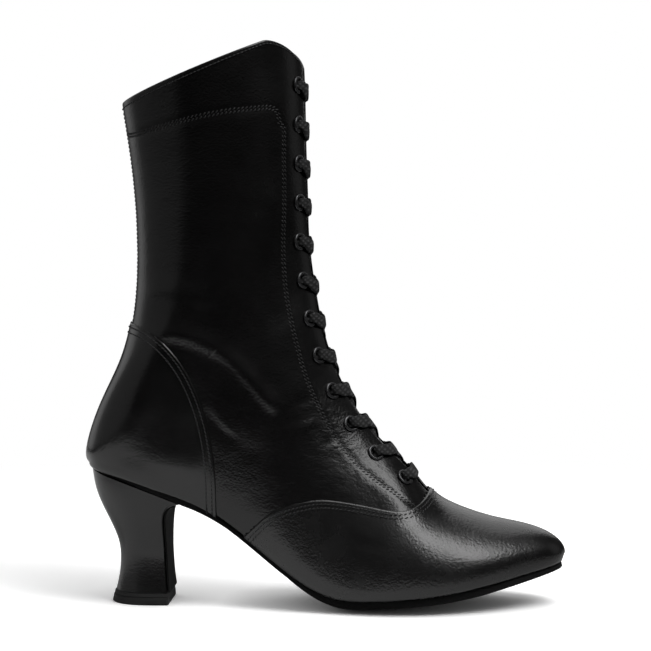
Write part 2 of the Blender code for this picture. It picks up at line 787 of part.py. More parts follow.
build_upper(make_look("upper_leather", (0.020, 0.019, 0.019), 0.38))
build_vamp(make_look("vamp_leather", (0.020, 0.019, 0.019), 0.34))
build_counter(make_look("counter_leather", (0.020, 0.019, 0.019), 0.36))
build_tongue(make_look("tongue_leather", (0.022, 0.021, 0.021), 0.50))
build_outsole(make_look("sole_suede", (0.045, 0.042, 0.040), 0.85))
build_insole(make_look("insole_leather", (0.10, 0.08, 0.06), 0.65))
build_heel(make_look("heel_leather", (0.018, 0.017, 0.017), 0.30))
build_breast_cover(make_look("breast_suede", (0.030, 0.028, 0.027), 0.85))
build_top_lift(make_look("lift_rubber", (0.025, 0.025, 0.025), 0.70))
build_eyelets(make_look("eyelet_metal", (0.030, 0.030, 0.032), 0.30, 0.6))
build_lace(make_look("lace_cotton", (0.018, 0.018, 0.018), 0.90))
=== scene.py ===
"""Looks of a right-foot lace-up dance boot: leather, stitching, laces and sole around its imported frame."""

import math
from collections import namedtuple
from contextlib import contextmanager

import bmesh
import bpy
import numpy as np
from mathutils import Matrix, Vector, noise


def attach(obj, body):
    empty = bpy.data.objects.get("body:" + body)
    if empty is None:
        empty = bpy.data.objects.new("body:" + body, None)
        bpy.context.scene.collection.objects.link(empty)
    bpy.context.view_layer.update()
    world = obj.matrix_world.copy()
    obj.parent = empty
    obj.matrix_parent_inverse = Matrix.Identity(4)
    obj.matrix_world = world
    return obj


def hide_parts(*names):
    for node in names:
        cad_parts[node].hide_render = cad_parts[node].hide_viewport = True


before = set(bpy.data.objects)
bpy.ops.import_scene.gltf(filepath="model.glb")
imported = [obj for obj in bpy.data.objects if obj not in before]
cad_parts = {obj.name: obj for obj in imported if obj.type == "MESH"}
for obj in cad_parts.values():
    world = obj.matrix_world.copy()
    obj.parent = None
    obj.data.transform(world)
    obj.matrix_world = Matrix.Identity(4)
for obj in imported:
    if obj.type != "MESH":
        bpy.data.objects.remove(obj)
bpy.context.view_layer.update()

# Sizes in millimetres; x runs from the heel back to the toe, and -Y is the outer side
MM = 0.001
LENGTH = 242.4
BALL_WIDTH = 84.0
HEIGHT = 290.0
GAP = 0.3
ORIGIN_X = LENGTH / 2
UPPER_WALL = 1.9
OVERLAY_HEIGHT = 1.05
OVERLAY_WALL = 0.9
PANEL_EDGE = (0.9, 0.95)
QUARTER_EDGE = (0.9, 0.7)
QUARTER_TUCK = 12.0
CALM_EDGE = (0.5, 6.0)
LASTED_RUN = 3.0
LASTED_SHARE = 0.3
TONGUE_WALL = 1.5
TOE_THICKNESS = 2.4
FOREPART_THICKNESS = 4.0
SHANK_THICKNESS = 2.0
BREAST_THICKNESS = 3.2
SEAT_THICKNESS = 1.2
SOLE_CROWN = 3.3
THICKNESS_X = [5, 52, 74, 105, 130, 200]
CROWN_X = [105, 135, 165]
SOLE_ROUND = 0.5
INSOLE_ROUND = 0.6
SOLE_TIP_ANGLE = 0.02
MARGIN_SHARES = [0.15, 0.5]
TOE_MARGIN = 1.0
SEAT_MARGIN = 0.3
SEAT_GAP = 0.5
INSOLE_THICKNESS = 2.0
INSOLE_INSET = 2.7
LIFT_HEIGHT = 6.0
COVER_GAP = 0.4
COVER_WALL = 0.9

# Throat opening, collar corner, tongue and eyelets
HALF_GAPS = {
    "throat": 8.0,
    "ball": 11.5,
    "waist": 11.3,
    "heel corner": 7.0,
    "counter top": 5.4,
    "collar": 5.2,
}
CORNER_RUN = 32.0
CORNER_DROP = 0.21
CORNER_POWER = 1.5
TONGUE_HALF_WIDTH = 18.0
TONGUE_DEPTH = UPPER_WALL + 2.4
TONGUE_TOP_Z = 271.0
TONGUE_TUCK = 16.0
TONGUE_NARROW = 0.6
TONGUE_WIDEN = 40.0
TONGUE_ROUND = 14.0
TONGUE_ROUND_SHARE = 0.48
TONGUE_SEAT = UPPER_WALL + GAP + 0.2
TONGUE_SINK = (-2.0, 7.0)
EYELET_PAIRS = 12
EYELET_PITCH = 19.5
EYELET_SETBACK = 9.0
TOP_EYELET_Z = 262.0
EYELET_HOLE = 3.4
EYELET_BORE = 2.6
EYELET_BARREL = 3.2
EYELET_DEPTH = 2.2
FLANGE_MIDDLE = 3.45
FLANGE_HALF = 0.85
FLANGE_BASE = 0.5
FLANGE_RISE = 0.65

# Lace: a flat tubular braid
LACE_WIDTH = 6.6
LACE_THICKNESS = 1.25
LACE_IN_HOLE = 4.3
LACE_OVER = -1.9
LACE_UNDER = -3.1
LACE_ROUND = (0.55, 0.75)

# Seams and stitches
FACING_STITCH = 21.5
ROW_SPACING = 1.5
STITCH_PITCH = 2.1
STITCH_LENGTH = 2.1
THREAD_RADIUS = 0.3
VAMP_ROWS = (2.2, 4.1)
COUNTER_ROWS = (1.9, 4.7)
COLLAR_ROW = 2.2
BACK_ROW = 1.3
BACK_ROW_ENDS = (22.0, 4.0)
COLLAR_SKIP = 8
PANEL_SPARE = 2.5
FACING_ENDS = (7.0, 10.0)
STITCH_ARCH = 0.22
STITCH_DIVE = 0.34
STITCH_TIP = 0.02
FACING_SLANT = 0.7
PANEL_SLANT = 0.3

# Sections of the last: x in percent of LENGTH, z of HEIGHT, y and half widths of BALL_WIDTH
SECTION_COLUMNS = "keel_x keel_z ridge_x ridge_z ridge_y outer inner widest top_power low_power"
Section = namedtuple("Section", SECTION_COLUMNS)
SECTIONS = {
    "toe tip":     Section(99.1, 7.45, 99.8, 9.0, 4.8, -4.8, 4.8, 40, 200, 200),
    "toe front":   Section(97.6, 7.1, 98.0, 11.4, 5.0, 9.0, 18.6, 40, 200, 200),
    "toe box":     Section(92.8, 6.3, 92.9, 13.35, 5.4, 21.4, 28.8, 34, 200, 200),
    "vamp":        Section(85.4, 5.1, 85.4, 14.7, 5.4, 35.2, 38.3, 22, 200, 200),
    "vamp top":    Section(77.4, 3.85, 77.7, 16.75, 5.2, 44.8, 46.0, 14, 200, 200),
    "throat":      Section(69.3, 3.0, 72.1, 19.6, 4.8, 49.2, 49.9, 11, 200, 200),
    "ball":        Section(61.1, 2.45, 68.1, 24.3, 4.2, 48.8, 47.6, 9, 195, 200),
    "instep":      Section(52.0, 2.7, 63.1, 29.15, 3.3, 44.0, 42.3, 11, 185, 200),
    "waist":       Section(42.5, 6.85, 58.0, 34.8, 2.4, 39.3, 36.9, 15, 182, 200),
    "shank":       Section(33.0, 13.15, 53.9, 40.6, 1.7, 36.9, 35.1, 27, 190, 230),
    "breast":      Section(23.9, 18.2, 51.1, 46.0, 1.1, 36.9, 35.7, 38, 200, 280),
    "heel seat":   Section(14.4, 21.3, 49.3, 51.2, 0.6, 37.5, 36.9, 45, 210, 280),
    "heel rear":   Section(5.8, 23.4, 48.3, 55.7, 0.2, 38.1, 37.5, 46, 210, 255),
    "heel corner": Section(0.85, 24.7, 47.6, 59.3, 0.0, 38.7, 38.1, 47, 210, 245),
    "heel back":   Section(0.35, 27.1, 47.0, 63.4, 0.0, 39.3, 38.7, 47, 210, 245),
    "counter":     Section(2.7, 34.1, 46.6, 69.0, 0.0, 39.9, 39.3, 47, 210, 240),
    "counter top": Section(7.2, 42.4, 46.35, 74.8, 0.0, 40.5, 39.9, 48, 205, 230),
    "ankle":       Section(9.9, 51.4, 46.1, 81.0, 0.0, 41.7, 41.1, 49, 200, 215),
    "leg":         Section(10.6, 61.4, 45.9, 87.9, 0.0, 43.5, 42.9, 50, 200, 205),
    "cuff":        Section(9.8, 74.1, 45.6, 94.1, 0.0, 45.2, 44.6, 50, 200, 200),
    "collar":      Section(7.5, 87.4, 45.1, 100.0, 0.0, 47.0, 46.4, 50, 200, 200),
}
SECTION_UNITS = np.array([LENGTH, HEIGHT, LENGTH, HEIGHT] + 3 * [BALL_WIDTH] + 3 * [1]) / 100
POSITION_COLUMNS = 7

# Outline of the sole edge: x in percent of LENGTH, half widths in percent of BALL_WIDTH
OutlineRow = namedtuple("OutlineRow", "x outer inner")
SOLE_OUTLINE = (
    OutlineRow(0.85, 0.0, 0.0),
    OutlineRow(8.2, 28.1, 27.5),
    OutlineRow(14.8, 32.4, 31.3),
    OutlineRow(23.9, 30.2, 26.9),
    OutlineRow(33.0, 28.3, 23.6),
    OutlineRow(42.5, 31.3, 26.5),
    OutlineRow(52.0, 37.9, 34.5),
    OutlineRow(61.1, 43.2, 41.7),
    OutlineRow(69.3, 44.3, 44.4),
    OutlineRow(77.4, 39.8, 41.1),
    OutlineRow(85.4, 30.7, 34.0),
    OutlineRow(92.8, 17.6, 25.0),
    OutlineRow(97.0, 7.6, 17.1),
    OutlineRow(99.0, -4.8, 4.8),
)

# Heel block: rise is the share of the way from the top lift to the seat; the rest is in millimetres
HeelRow = namedtuple("HeelRow", "rise back breast half_width")
HEEL_ROWS = (
    HeelRow(0.00, 13.8, 41.8, 16.2),
    HeelRow(0.125, 15.4, 41.1, 15.2),
    HeelRow(0.28, 16.1, 40.6, 14.4),
    HeelRow(0.41, 15.3, 40.3, 14.5),
    HeelRow(0.565, 11.6, 40.1, 17.0),
    HeelRow(0.70, 7.4, 40.1, 20.6),
    HeelRow(0.81, 4.4, 40.8, 23.6),
    HeelRow(0.90, 2.9, 43.0, 25.6),
    HeelRow(1.00, 1.9, 49.0, 27.0),
)

# Plan of the heel in shares of its length and half width, and the front flap in shares of the block
HEEL_ROUND = 0.6
HEEL_SIDE_SHARES = (0.6, 0.82, 0.96)
HEEL_SIDE_WIDTHS = (1.0, 0.995, 0.972)
BREAST_CORNER = 0.035
BREAST_CORNER_WIDTH = 0.07
BREAST_WIDTH = 0.9
FLAP_TOP = 0.955
FLAP_WIDTH = 0.88

# Top lift with a groove near its top, in millimetres
LiftRow = namedtuple("LiftRow", "z back breast half_width")
LIFT_ROWS = (
    LiftRow(0.0, 12.4, 42.1, 16.5),
    LiftRow(0.4, 11.9, 42.4, 16.9),
    LiftRow(3.7, 12.6, 42.2, 16.7),
    LiftRow(3.9, 13.1, 41.7, 16.2),
    LiftRow(4.2, 12.9, 42.1, 16.6),
    LiftRow(5.7, 13.2, 42.0, 16.5),
    LiftRow(6.0, 13.6, 41.6, 16.1),
)

# Softening of the upper round the heel corner: a blur along the stations that sets in
# between two shares of the section's rise
HeelEase = namedtuple("HeelEase", "blur low high")
HEEL_EASE_REACH = (45.0, 75.0)
NORMAL_BLUR = 4.0
HEEL_EASE = (
    HeelEase(3.0, 0.002, 0.02),
    HeelEase(8.0, 0.008, 0.045),
    HeelEase(14.0, 0.025, 0.11),
)

# Seams in side view
SidePoint = namedtuple("SidePoint", "x z")
VAMP_START_X = 82.0
VAMP_START_LIFT = 0.4
VAMP_SEAM = (
    SidePoint(86.6, 41.9), SidePoint(95.8, 49.8), SidePoint(108.5, 54.6), SidePoint(120.7, 56.3),
    SidePoint(132.8, 55.1), SidePoint(145.3, 52.9), SidePoint(157.7, 50.8), SidePoint(164.0, 51.3),
    SidePoint(169.0, 53.4), SidePoint(173.0, 57.0), SidePoint(177.0, 63.0),
)
COUNTER_TOP_Z = 142.5
COUNTER_FRONT_X = 68.2
COUNTER_BEND_Z = 60.0
COUNTER_PAST_BACK = 1.0
CUFF_SEAM = (
    SidePoint(22.5, 237.2), SidePoint(42.0, 241.0), SidePoint(58.0, 245.0), SidePoint(79.0, 248.8),
    SidePoint(91.0, 250.1), SidePoint(95.4, 250.3), SidePoint(98.0, 249.2), SidePoint(99.4, 246.8),
    SidePoint(100.0, 243.0),
)

# Creases in side view: height of the crest (negative for a trough) and its soft widths below and above
Crease = namedtuple("Crease", "height below above line")
CREASES = (
    # Full round of the counter above the seat
    Crease(0.7, 8.0, 16.0, (SidePoint(-30.0, 79.0), SidePoint(30.0, 76.0), SidePoint(66.0, 71.0))),
    # Ridge from the counter over the ankle to the instep
    Crease(1.1, 3.2, 4.5, (
        SidePoint(34.0, 138.8), SidePoint(51.0, 138.1), SidePoint(63.4, 133.5), SidePoint(73.7, 127.6),
        SidePoint(81.4, 120.4), SidePoint(87.7, 113.2), SidePoint(93.9, 105.9), SidePoint(101.0, 98.0),
    )),
    # Shorter ridge above it
    Crease(0.5, 2.6, 5.0, (
        SidePoint(31.0, 157.5), SidePoint(47.0, 160.1), SidePoint(57.3, 157.2), SidePoint(69.0, 150.5),
    )),
    # Trough that starts sharp at the counter edge and runs out softly over the instep
    Crease(-0.5, 5.0, 1.3, (
        SidePoint(62.0, 103.6), SidePoint(67.8, 95.7), SidePoint(74.4, 88.8), SidePoint(81.0, 83.9),
    )),
    Crease(-0.2, 5.0, 5.0, (
        SidePoint(74.4, 88.8), SidePoint(82.8, 82.6), SidePoint(93.1, 77.7), SidePoint(108.0, 75.8),
    )),
    # Short puckers beside the lower facing
    Crease(0.35, 1.6, 2.6, (SidePoint(101.0, 90.5), SidePoint(112.0, 92.0), SidePoint(122.0, 96.5))),
    Crease(-0.3, 1.6, 2.4, (SidePoint(104.0, 103.0), SidePoint(111.0, 104.5), SidePoint(118.0, 108.0))),
    Crease(-0.3, 1.6, 2.4, (SidePoint(118.0, 82.5), SidePoint(125.0, 85.5), SidePoint(131.0, 90.0))),
    # Flex creases of the vamp below the throat
    Crease(-0.22, 2.6, 3.6, (SidePoint(158.0, 42.5), SidePoint(164.0, 46.0), SidePoint(171.0, 50.0))),
    Crease(-0.15, 2.6, 3.4, (SidePoint(131.0, 38.0), SidePoint(145.0, 34.6), SidePoint(160.0, 32.6))),
)
CREASE_FADE = 9.0
CREASE_END = 2.0
WRINKLE_HEIGHT = 0.06
WRINKLE_FINE = 2.1
WRINKLE_FINE_SHARE = 0.5
WRINKLE_SIZE = np.array([10.0, 10.0, 8.0])
SEAM_DIP = 0.28
SEAM_DIP_WIDTH = 1.5

# Mesh resolution; stations run about STATION_PACE times as fast as millimetres of leather
STATION_STEPS = 1800
SHARE_STEPS = 240
GIRTH_STEPS = 160
STATION_PACE = 1.6
PANEL_SPACING = 1.2
QUARTER_SPACING = 1.4
QUARTER_COLUMNS = 76
EDGE_STEPS = np.array([0.0, 0.12, 0.3, 0.55, 0.85, 1.25])
EDGE_FULL_WIDTH = 8.0
QUARTER_GIRTH = 100.0
HEEL_STEPS = np.linspace(0, 4, 9) ** 2
COLLAR_STEPS = np.array([1.8, 1.2, 0.7, 0.3])
CREASE_STEPS = 120
SEAM_SPACING = 0.5
EDGE_SPACING = 0.25
LACE_SPACING = 0.6
LACE_AROUND = 20
EYELET_TURNS = 40
SOLE_RINGS = 150
HEEL_RINGS = 70
SHARP_ANGLE = math.radians(50)
WELD = 2e-6
TINY = 1e-9


# Splines and the last

def unit(vectors):
    """The same directions at length one."""
    return vectors / (np.linalg.norm(vectors, axis=-1, keepdims=True) + TINY)


def run_length(points):
    """Distance along a line of points, from its first point."""
    return np.concatenate([[0.0], np.cumsum(np.linalg.norm(np.diff(points, axis=0), axis=1))])


def along_line(distance, run, rows):
    """Rows of values at distances along a line."""
    return np.column_stack([np.interp(distance, run, column) for column in rows.T])


def smooth_step(value, low, high):
    """0 below low, 1 above high, and a soft change between."""
    share = np.clip((value - low) / (high - low), 0, 1)
    return share * share * (3 - 2 * share)


def natural_spline(knots, rows):
    """Natural cubic spline through one row of values at each knot, for any array of positions."""
    count = len(knots)
    span = np.diff(knots)
    slope = np.diff(rows, axis=0) / span[:, None]
    system = np.eye(count)
    target = np.zeros_like(rows)
    for i in range(1, count - 1):
        system[i, i - 1:i + 2] = span[i - 1], 2 * (span[i - 1] + span[i]), span[i]
        target[i] = 6 * (slope[i] - slope[i - 1])
    bend = np.linalg.solve(system, target)

    def value(t):
        t = np.asarray(t, float)
        i = np.clip(np.searchsorted(knots, t) - 1, 0, count - 2)
        after = ((t - knots[i]) / span[i])[..., None]
        before = 1 - after
        cubic = (before ** 3 - before) * bend[i] + (after ** 3 - after) * bend[i + 1]
        return before * rows[i] + after * rows[i + 1] + cubic * (span[i] ** 2)[..., None] / 6

    return value


def last_spline():
    """Spline through the sections, with the toe row mirrored ahead so that the toe closes round."""
    rows = np.array([tuple(section) for section in SECTIONS.values()]) * SECTION_UNITS
    knots = run_length(rows[:, :POSITION_COLUMNS])
    ahead = 2 * rows[0] - rows[1]
    ahead[[0, 2]] = rows[1, [0, 2]]
    spline = natural_spline(np.concatenate([[-knots[1]], knots]), np.vstack([ahead, rows]))
    return spline, dict(zip(SECTIONS, knots))


LAST, STATION = last_spline()
TOE = STATION["toe tip"]
THROAT = STATION["throat"]
HEEL_CORNER = STATION["heel corner"]
COLLAR = STATION["collar"]
STATIONS = np.linspace(TOE, COLLAR, STATION_STEPS)
SHARES = np.linspace(0, 1, SHARE_STEPS + 1)
SECTION_LINES = LAST(STATIONS)


def outline_spline():
    """Half widths of the sole edge over an angle that runs from the heel back (0) to the toe (pi)."""
    units = np.array([LENGTH, BALL_WIDTH, BALL_WIDTH]) / 100
    rows = np.array([tuple(row) for row in SOLE_OUTLINE]) * units
    start, end = rows[0, 0], rows[-1, 0]
    angles = np.arccos(1 - 2 * (rows[:, 0] - start) / (end - start))
    return natural_spline(angles, rows[:, 1:]), start, end


OUTLINE, SOLE_START, SOLE_END = outline_spline()


def outline_angle(x):
    """Angle of the outline spline at a distance along the foot."""
    share = np.clip((x - SOLE_START) / (SOLE_END - SOLE_START), 0, 1)
    return np.arccos(1 - 2 * share)


def blurred(rows, blur):
    """A table averaged along the stations over a distance."""
    spacing = STATIONS[1] - STATIONS[0]
    reach = int(3 * blur / spacing)
    weights = np.exp(-0.5 * (np.arange(-reach, reach + 1) * spacing / blur) ** 2)
    weights /= weights.sum()
    padded = np.pad(rows, [(reach, reach)] + [(0, 0)] * (rows.ndim - 1), mode="edge")
    return sum(w * padded[k:k + len(rows)] for k, w in enumerate(weights))


def ease_heel_corner(y, rise):
    """Half widths with the turn from the seat to the back seam softened, more so higher up the counter."""
    near = 1 - smooth_step(np.abs(STATIONS - HEEL_CORNER), *HEEL_EASE_REACH)[:, None]
    for blur, low, high in HEEL_EASE:
        y = y + near * smooth_step(rise, low, high) * (blurred(y, blur) - y)
    return y


SideTable = namedtuple("SideTable", "points normals length rise")


def side_table(side):
    """The outside of the upper on one side (-1 outer, 1 inner), by station and by share of the girth."""
    section = dict(zip(SECTION_COLUMNS.split(), SECTION_LINES.T[:, :, None]))
    widest = side * section["outer" if side < 0 else "inner"]
    edge = OUTLINE(outline_angle(section["keel_x"][:, 0]))[:, 0 if side < 0 else 1]
    foot = np.where(STATIONS < HEEL_CORNER, side * edge, 0.0)[:, None]
    angle = np.linspace(math.pi / 2, -math.pi / 2, 2 * GIRTH_STEPS + 1)[None, :]
    cosine = np.clip(np.cos(angle), 0, 1)
    sine = np.abs(np.sin(angle))
    top, low, level = section["top_power"], section["low_power"], section["widest"]
    above_y = section["ridge_y"] + (widest - section["ridge_y"]) * cosine ** (2 / top)
    below_y = foot + (widest - foot) * cosine ** (2 / low)
    above_rise = level + (1 - level) * sine ** (2 / top)
    below_rise = level * (1 - sine ** (2 / low))
    rise = np.where(angle >= 0, above_rise, below_rise)
    y = ease_heel_corner(np.where(angle >= 0, above_y, below_y), rise)
    x = section["keel_x"] + rise * (section["ridge_x"] - section["keel_x"])
    z = section["keel_z"] + rise * (section["ridge_z"] - section["keel_z"])
    line = np.stack([x, y, z, rise], axis=-1)
    step = np.linalg.norm(np.diff(line[..., :3], axis=1), axis=2)
    run = np.concatenate([np.zeros((STATION_STEPS, 1)), np.cumsum(step, axis=1)], axis=1)
    length = run[:, -1]
    even = np.empty((STATION_STEPS, SHARE_STEPS + 1, 4))
    for i in range(STATION_STEPS):
        for k in range(4):
            even[i, :, k] = np.interp(SHARES * length[i], run[i], line[i, :, k])
    points = even[..., :3]
    normals = side * np.cross(np.gradient(points, axis=1), np.gradient(points, axis=0))
    normals = unit(normals)
    # Even out the sharp turn at the bottom of the heel, so that layers over it don't fold
    near = (np.abs(STATIONS - HEEL_CORNER) < HEEL_EASE_REACH[0])[:, None, None]
    normals = unit(np.where(near, blurred(normals, NORMAL_BLUR), normals))
    # The two sides meet at the toe tip
    normals[0] = (1.0, 0.0, 0.0)
    return SideTable(points, normals, length, even[..., 3])


SIDES = {-1: side_table(-1), 1: side_table(1)}


def lookup(table, t, share):
    """Value between the entries of a table by station and share."""
    i = np.clip((t - TOE) / (COLLAR - TOE) * (STATION_STEPS - 1), 0, STATION_STEPS - 1.001)
    j = np.clip(share * SHARE_STEPS, 0, SHARE_STEPS - 0.001)
    a, b = i.astype(int), j.astype(int)
    u, v = (i - a)[..., None], (j - b)[..., None]
    low = table[a, b] * (1 - v) + table[a, b + 1] * v
    high = table[a + 1, b] * (1 - v) + table[a + 1, b + 1] * v
    return low * (1 - u) + high * u


def girth_length(side, t):
    """Distance from the ridge to the keel."""
    return np.interp(t, STATIONS, SIDES[side].length)


def skin_normal(side, t, arc):
    """Outward unit normal of the leather."""
    return unit(lookup(SIDES[side].normals, t, arc / girth_length(side, t)))


def skin(side, t, arc, height=0.0):
    """Point at a height above the leather; arc is the distance from the ridge down one side."""
    t, arc, height = np.broadcast_arrays(np.asarray(t, float), arc, height)
    base = lookup(SIDES[side].points, t, arc / girth_length(side, t))
    return base + height[..., None] * skin_normal(side, t, arc)


def signed(value, t, arc, *rest):
    """A value of the leather where arc is negative on the outer side of the ridge."""
    t, arc, *rest = np.broadcast_arrays(np.asarray(t, float), arc, *rest)
    outer = value(-1, t, np.maximum(-arc, 0), *rest)
    inner = value(1, t, np.maximum(arc, 0), *rest)
    return np.where((arc < 0)[..., None], outer, inner)


def at_side(side, x, z):
    """Station and arc of the place that shows at x, z in side view."""
    keel = SECTION_LINES[:, 0:2]
    span = SECTION_LINES[:, 2:4] - keel
    turn = span[:, 0] * (z - keel[:, 1]) - span[:, 1] * (x - keel[:, 0])
    i = int(np.nonzero(turn[:-1] * turn[1:] <= 0)[0][0])
    part = turn[i] / (turn[i] - turn[i + 1])
    t = STATIONS[i] + part * (STATIONS[i + 1] - STATIONS[i])
    rise = np.dot([x - keel[i, 0], z - keel[i, 1]], span[i]) / np.dot(span[i], span[i])
    share = np.interp(-rise, -SIDES[side].rise[i], SHARES)
    return t, share * girth_length(side, t)


def half_gap(t):
    """Half width of the lacing opening."""
    return np.interp(t, [STATION[name] for name in HALF_GAPS], list(HALF_GAPS.values()))


def feather_line():
    """Height of the sole edge along the foot, from the heel to the toe."""
    keel = LAST(np.linspace(HEEL_CORNER, TOE, 300))[:, :2]
    return keel[:, 0], keel[:, 1]


FEATHER_X, FEATHER_Z = feather_line()


def feather_z(x):
    """Height of the sole edge, carried on straight past both ends."""
    low, high = FEATHER_X[0], FEATHER_X[-1]
    heel_slope = (FEATHER_Z[20] - FEATHER_Z[0]) / (FEATHER_X[20] - low)
    toe_slope = (FEATHER_Z[-1] - FEATHER_Z[-40]) / (high - FEATHER_X[-40])
    past = heel_slope * np.minimum(x - low, 0) + toe_slope * np.maximum(x - high, 0)
    return np.interp(x, FEATHER_X, FEATHER_Z) + past


def feather_normal(x):
    """Upward unit normal of the sole in side view."""
    slope = (feather_z(x + 2) - feather_z(x - 2)) / 4
    return np.array([-slope, 0.0, 1.0]) / math.hypot(slope, 1)


# Mesh helpers

def resample(points, spacing):
    """Line of points at an even spacing."""
    run = run_length(points)
    return along_line(np.linspace(0, run[-1], max(2, int(round(run[-1] / spacing)) + 1)), run, points)


def line_distance(points, line):
    """Distance of each point from a dense line of points."""
    flat = points.reshape(-1, 3)
    nearest = np.empty(len(flat))
    for start in range(0, len(flat), 4000):
        block = flat[start:start + 4000]
        gap = ((block[:, None, :] - line[None, :, :]) ** 2).sum(axis=2)
        nearest[start:start + 4000] = np.sqrt(gap.min(axis=1))
    return nearest.reshape(points.shape[:-1])


def to_world(points):
    """Millimetres along the last to metres about the middle of the boot."""
    return (np.asarray(points, float) - np.array([ORIGIN_X, 0.0, 0.0])) * MM


def grid_faces(rows, columns, start=0, flip=False):
    """Quads of a grid whose points run row by row."""
    faces = []
    for i in range(rows - 1):
        for j in range(columns - 1):
            a = start + i * columns + j
            face = (a, a + 1, a + columns + 1, a + columns)
            faces.append(face[::-1] if flip else face)
    return faces


@contextmanager
def edited(mesh):
    """The mesh opened for edits."""
    shape = bmesh.new()
    shape.from_mesh(mesh)
    yield shape
    shape.to_mesh(mesh)
    shape.free()


def make_piece(name, points, faces, material, weld=True):
    """Object from points in millimetres, smooth shaded, that rides on the boot."""
    mesh = bpy.data.meshes.new(name)
    mesh.from_pydata(to_world(points).tolist(), [], faces)
    if weld:
        with edited(mesh) as shape:
            bmesh.ops.remove_doubles(shape, verts=shape.verts, dist=WELD)
    mesh.materials.append(material)
    mesh.shade_smooth()
    piece = bpy.data.objects.new(name, mesh)
    bpy.context.scene.collection.objects.link(piece)
    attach(piece, "root")
    return piece


def apply_modifiers(piece):
    """Turn the piece's modifiers into its own mesh, and crease its sharp edges."""
    depsgraph = bpy.context.evaluated_depsgraph_get()
    mesh = bpy.data.meshes.new_from_object(piece.evaluated_get(depsgraph))
    piece.modifiers.clear()
    piece.data = mesh
    mesh.shade_smooth()
    mesh.set_sharp_from_angle(angle=SHARP_ANGLE)


def thicken(piece, thickness, inner_slot=0):
    """Give an open surface a wall on its inner side."""
    wall = piece.modifiers.new("wall", "SOLIDIFY")
    wall.thickness = thickness * MM
    wall.offset = -1
    wall.use_even_offset = False
    wall.material_offset = inner_slot
    apply_modifiers(piece)


def two_sided(name, surface, material):
    """Piece of one grid of points on each side of the boot, joined where they meet."""
    points = []
    faces = []
    for side in (-1, 1):
        grid = surface(side)
        faces += grid_faces(*grid.shape[:2], start=len(points), flip=side < 0)
        points.extend(grid.reshape(-1, 3))
    return make_piece(name, points, faces, material)


def tube_faces(rings, around, start=0):
    """Faces of a tube of equal rings, capped at both ends."""
    faces = []
    for i in range(rings - 1):
        for j in range(around):
            a = start + i * around + j
            b = start + i * around + (j + 1) % around
            faces.append((a, b, b + around, a + around))
    last = start + (rings - 1) * around
    faces.append(tuple(range(start, start + around))[::-1])
    faces.append(tuple(range(last, last + around)))
    return faces


def loft(name, rings, material):
    """Closed solid through rings of equal count."""
    points = np.concatenate([np.asarray(ring, float) for ring in rings])
    piece = make_piece(name, points, tube_faces(len(rings), len(rings[0])), material)
    with edited(piece.data) as shape:
        bmesh.ops.recalc_face_normals(shape, faces=shape.faces)
    piece.data.set_sharp_from_angle(angle=SHARP_ANGLE)
    return piece


# Materials: colours, ranges of the textures, and depths and places in the frame's metres
BLACK = (0.0022, 0.0021, 0.0021)
FOLD_STRETCH = (1.0, 1.0, 1.3)
FOLD_DEPTH = 0.0006
GRAIN_DEPTH = 0.00012
NAP_DEPTH = 0.0002
TWIST_DEPTH = 0.0001
RIB_DEPTH = 0.0003
RIB_LEAN = 0.8
PEBBLE_SHARE = 0.7
CLOUD_RANGE = (0.3, 0.7)
POLISH = (0.05, 0.06)
SUEDE_SHINE = 0.25
COTTON_SHINE = 0.3
ENAMEL_ROUGHNESS = (0.14, 0.32)

# Where the instep bends, and where its wrinkles start and end to fade
FLEX_CENTRE = (0.013, 0.0, 0.082)
FLEX_REACH = (0.030, 0.060)


def new_material(name, colour, roughness):
    """Principled material; returns it with its node tree and shader."""
    material = bpy.data.materials.new(name)
    material.use_nodes = True
    tree = material.node_tree
    shader = tree.nodes["Principled BSDF"]
    shader.inputs["Base Color"].default_value = (*colour, 1.0)
    shader.inputs["Roughness"].default_value = roughness
    return material, tree, shader


def node(tree, kind, **settings):
    """Node with its named inputs or attributes set."""
    made = tree.nodes.new(kind)
    for key, value in settings.items():
        if key in made.inputs:
            made.inputs[key].default_value = value
        else:
            setattr(made, key, value)
    return made


def texture(tree, kind, place, **settings):
    """Texture or mapping node over given coordinates."""
    made = node(tree, kind, **settings)
    tree.links.new(place, made.inputs["Vector"])
    return made


def own_place(tree):
    """Coordinates fixed to the piece, in metres."""
    return node(tree, "ShaderNodeTexCoord").outputs["Object"]


def bump(tree, height, strength, distance):
    """Bump node over a height."""
    made = node(tree, "ShaderNodeBump", Strength=strength, Distance=distance)
    tree.links.new(height, made.inputs["Height"])
    return made


def emboss(tree, shader, height, strength, distance):
    """Bump over a height as the shader's normal."""
    tree.links.new(bump(tree, height, strength, distance).outputs["Normal"], shader.inputs["Normal"])


def map_range(tree, value, source, target=(0.0, 1.0), kind="LINEAR"):
    """Value moved from one range to another."""
    made = node(tree, "ShaderNodeMapRange", interpolation_type=kind)
    for socket, number in zip(("From Min", "From Max", "To Min", "To Max"), (*source, *target)):
        made.inputs[socket].default_value = number
    tree.links.new(value, made.inputs["Value"])
    return made.outputs["Result"]


def shade_between(tree, factor, colour, dark, light):
    """A colour times a share that goes from dark to light with the factor."""
    shade = node(tree, "ShaderNodeMix", data_type="RGBA")
    shade.inputs["A"].default_value = (*[dark * c for c in colour], 1.0)
    shade.inputs["B"].default_value = (*[light * c for c in colour], 1.0)
    tree.links.new(factor, shade.inputs["Factor"])
    return shade.outputs["Result"]


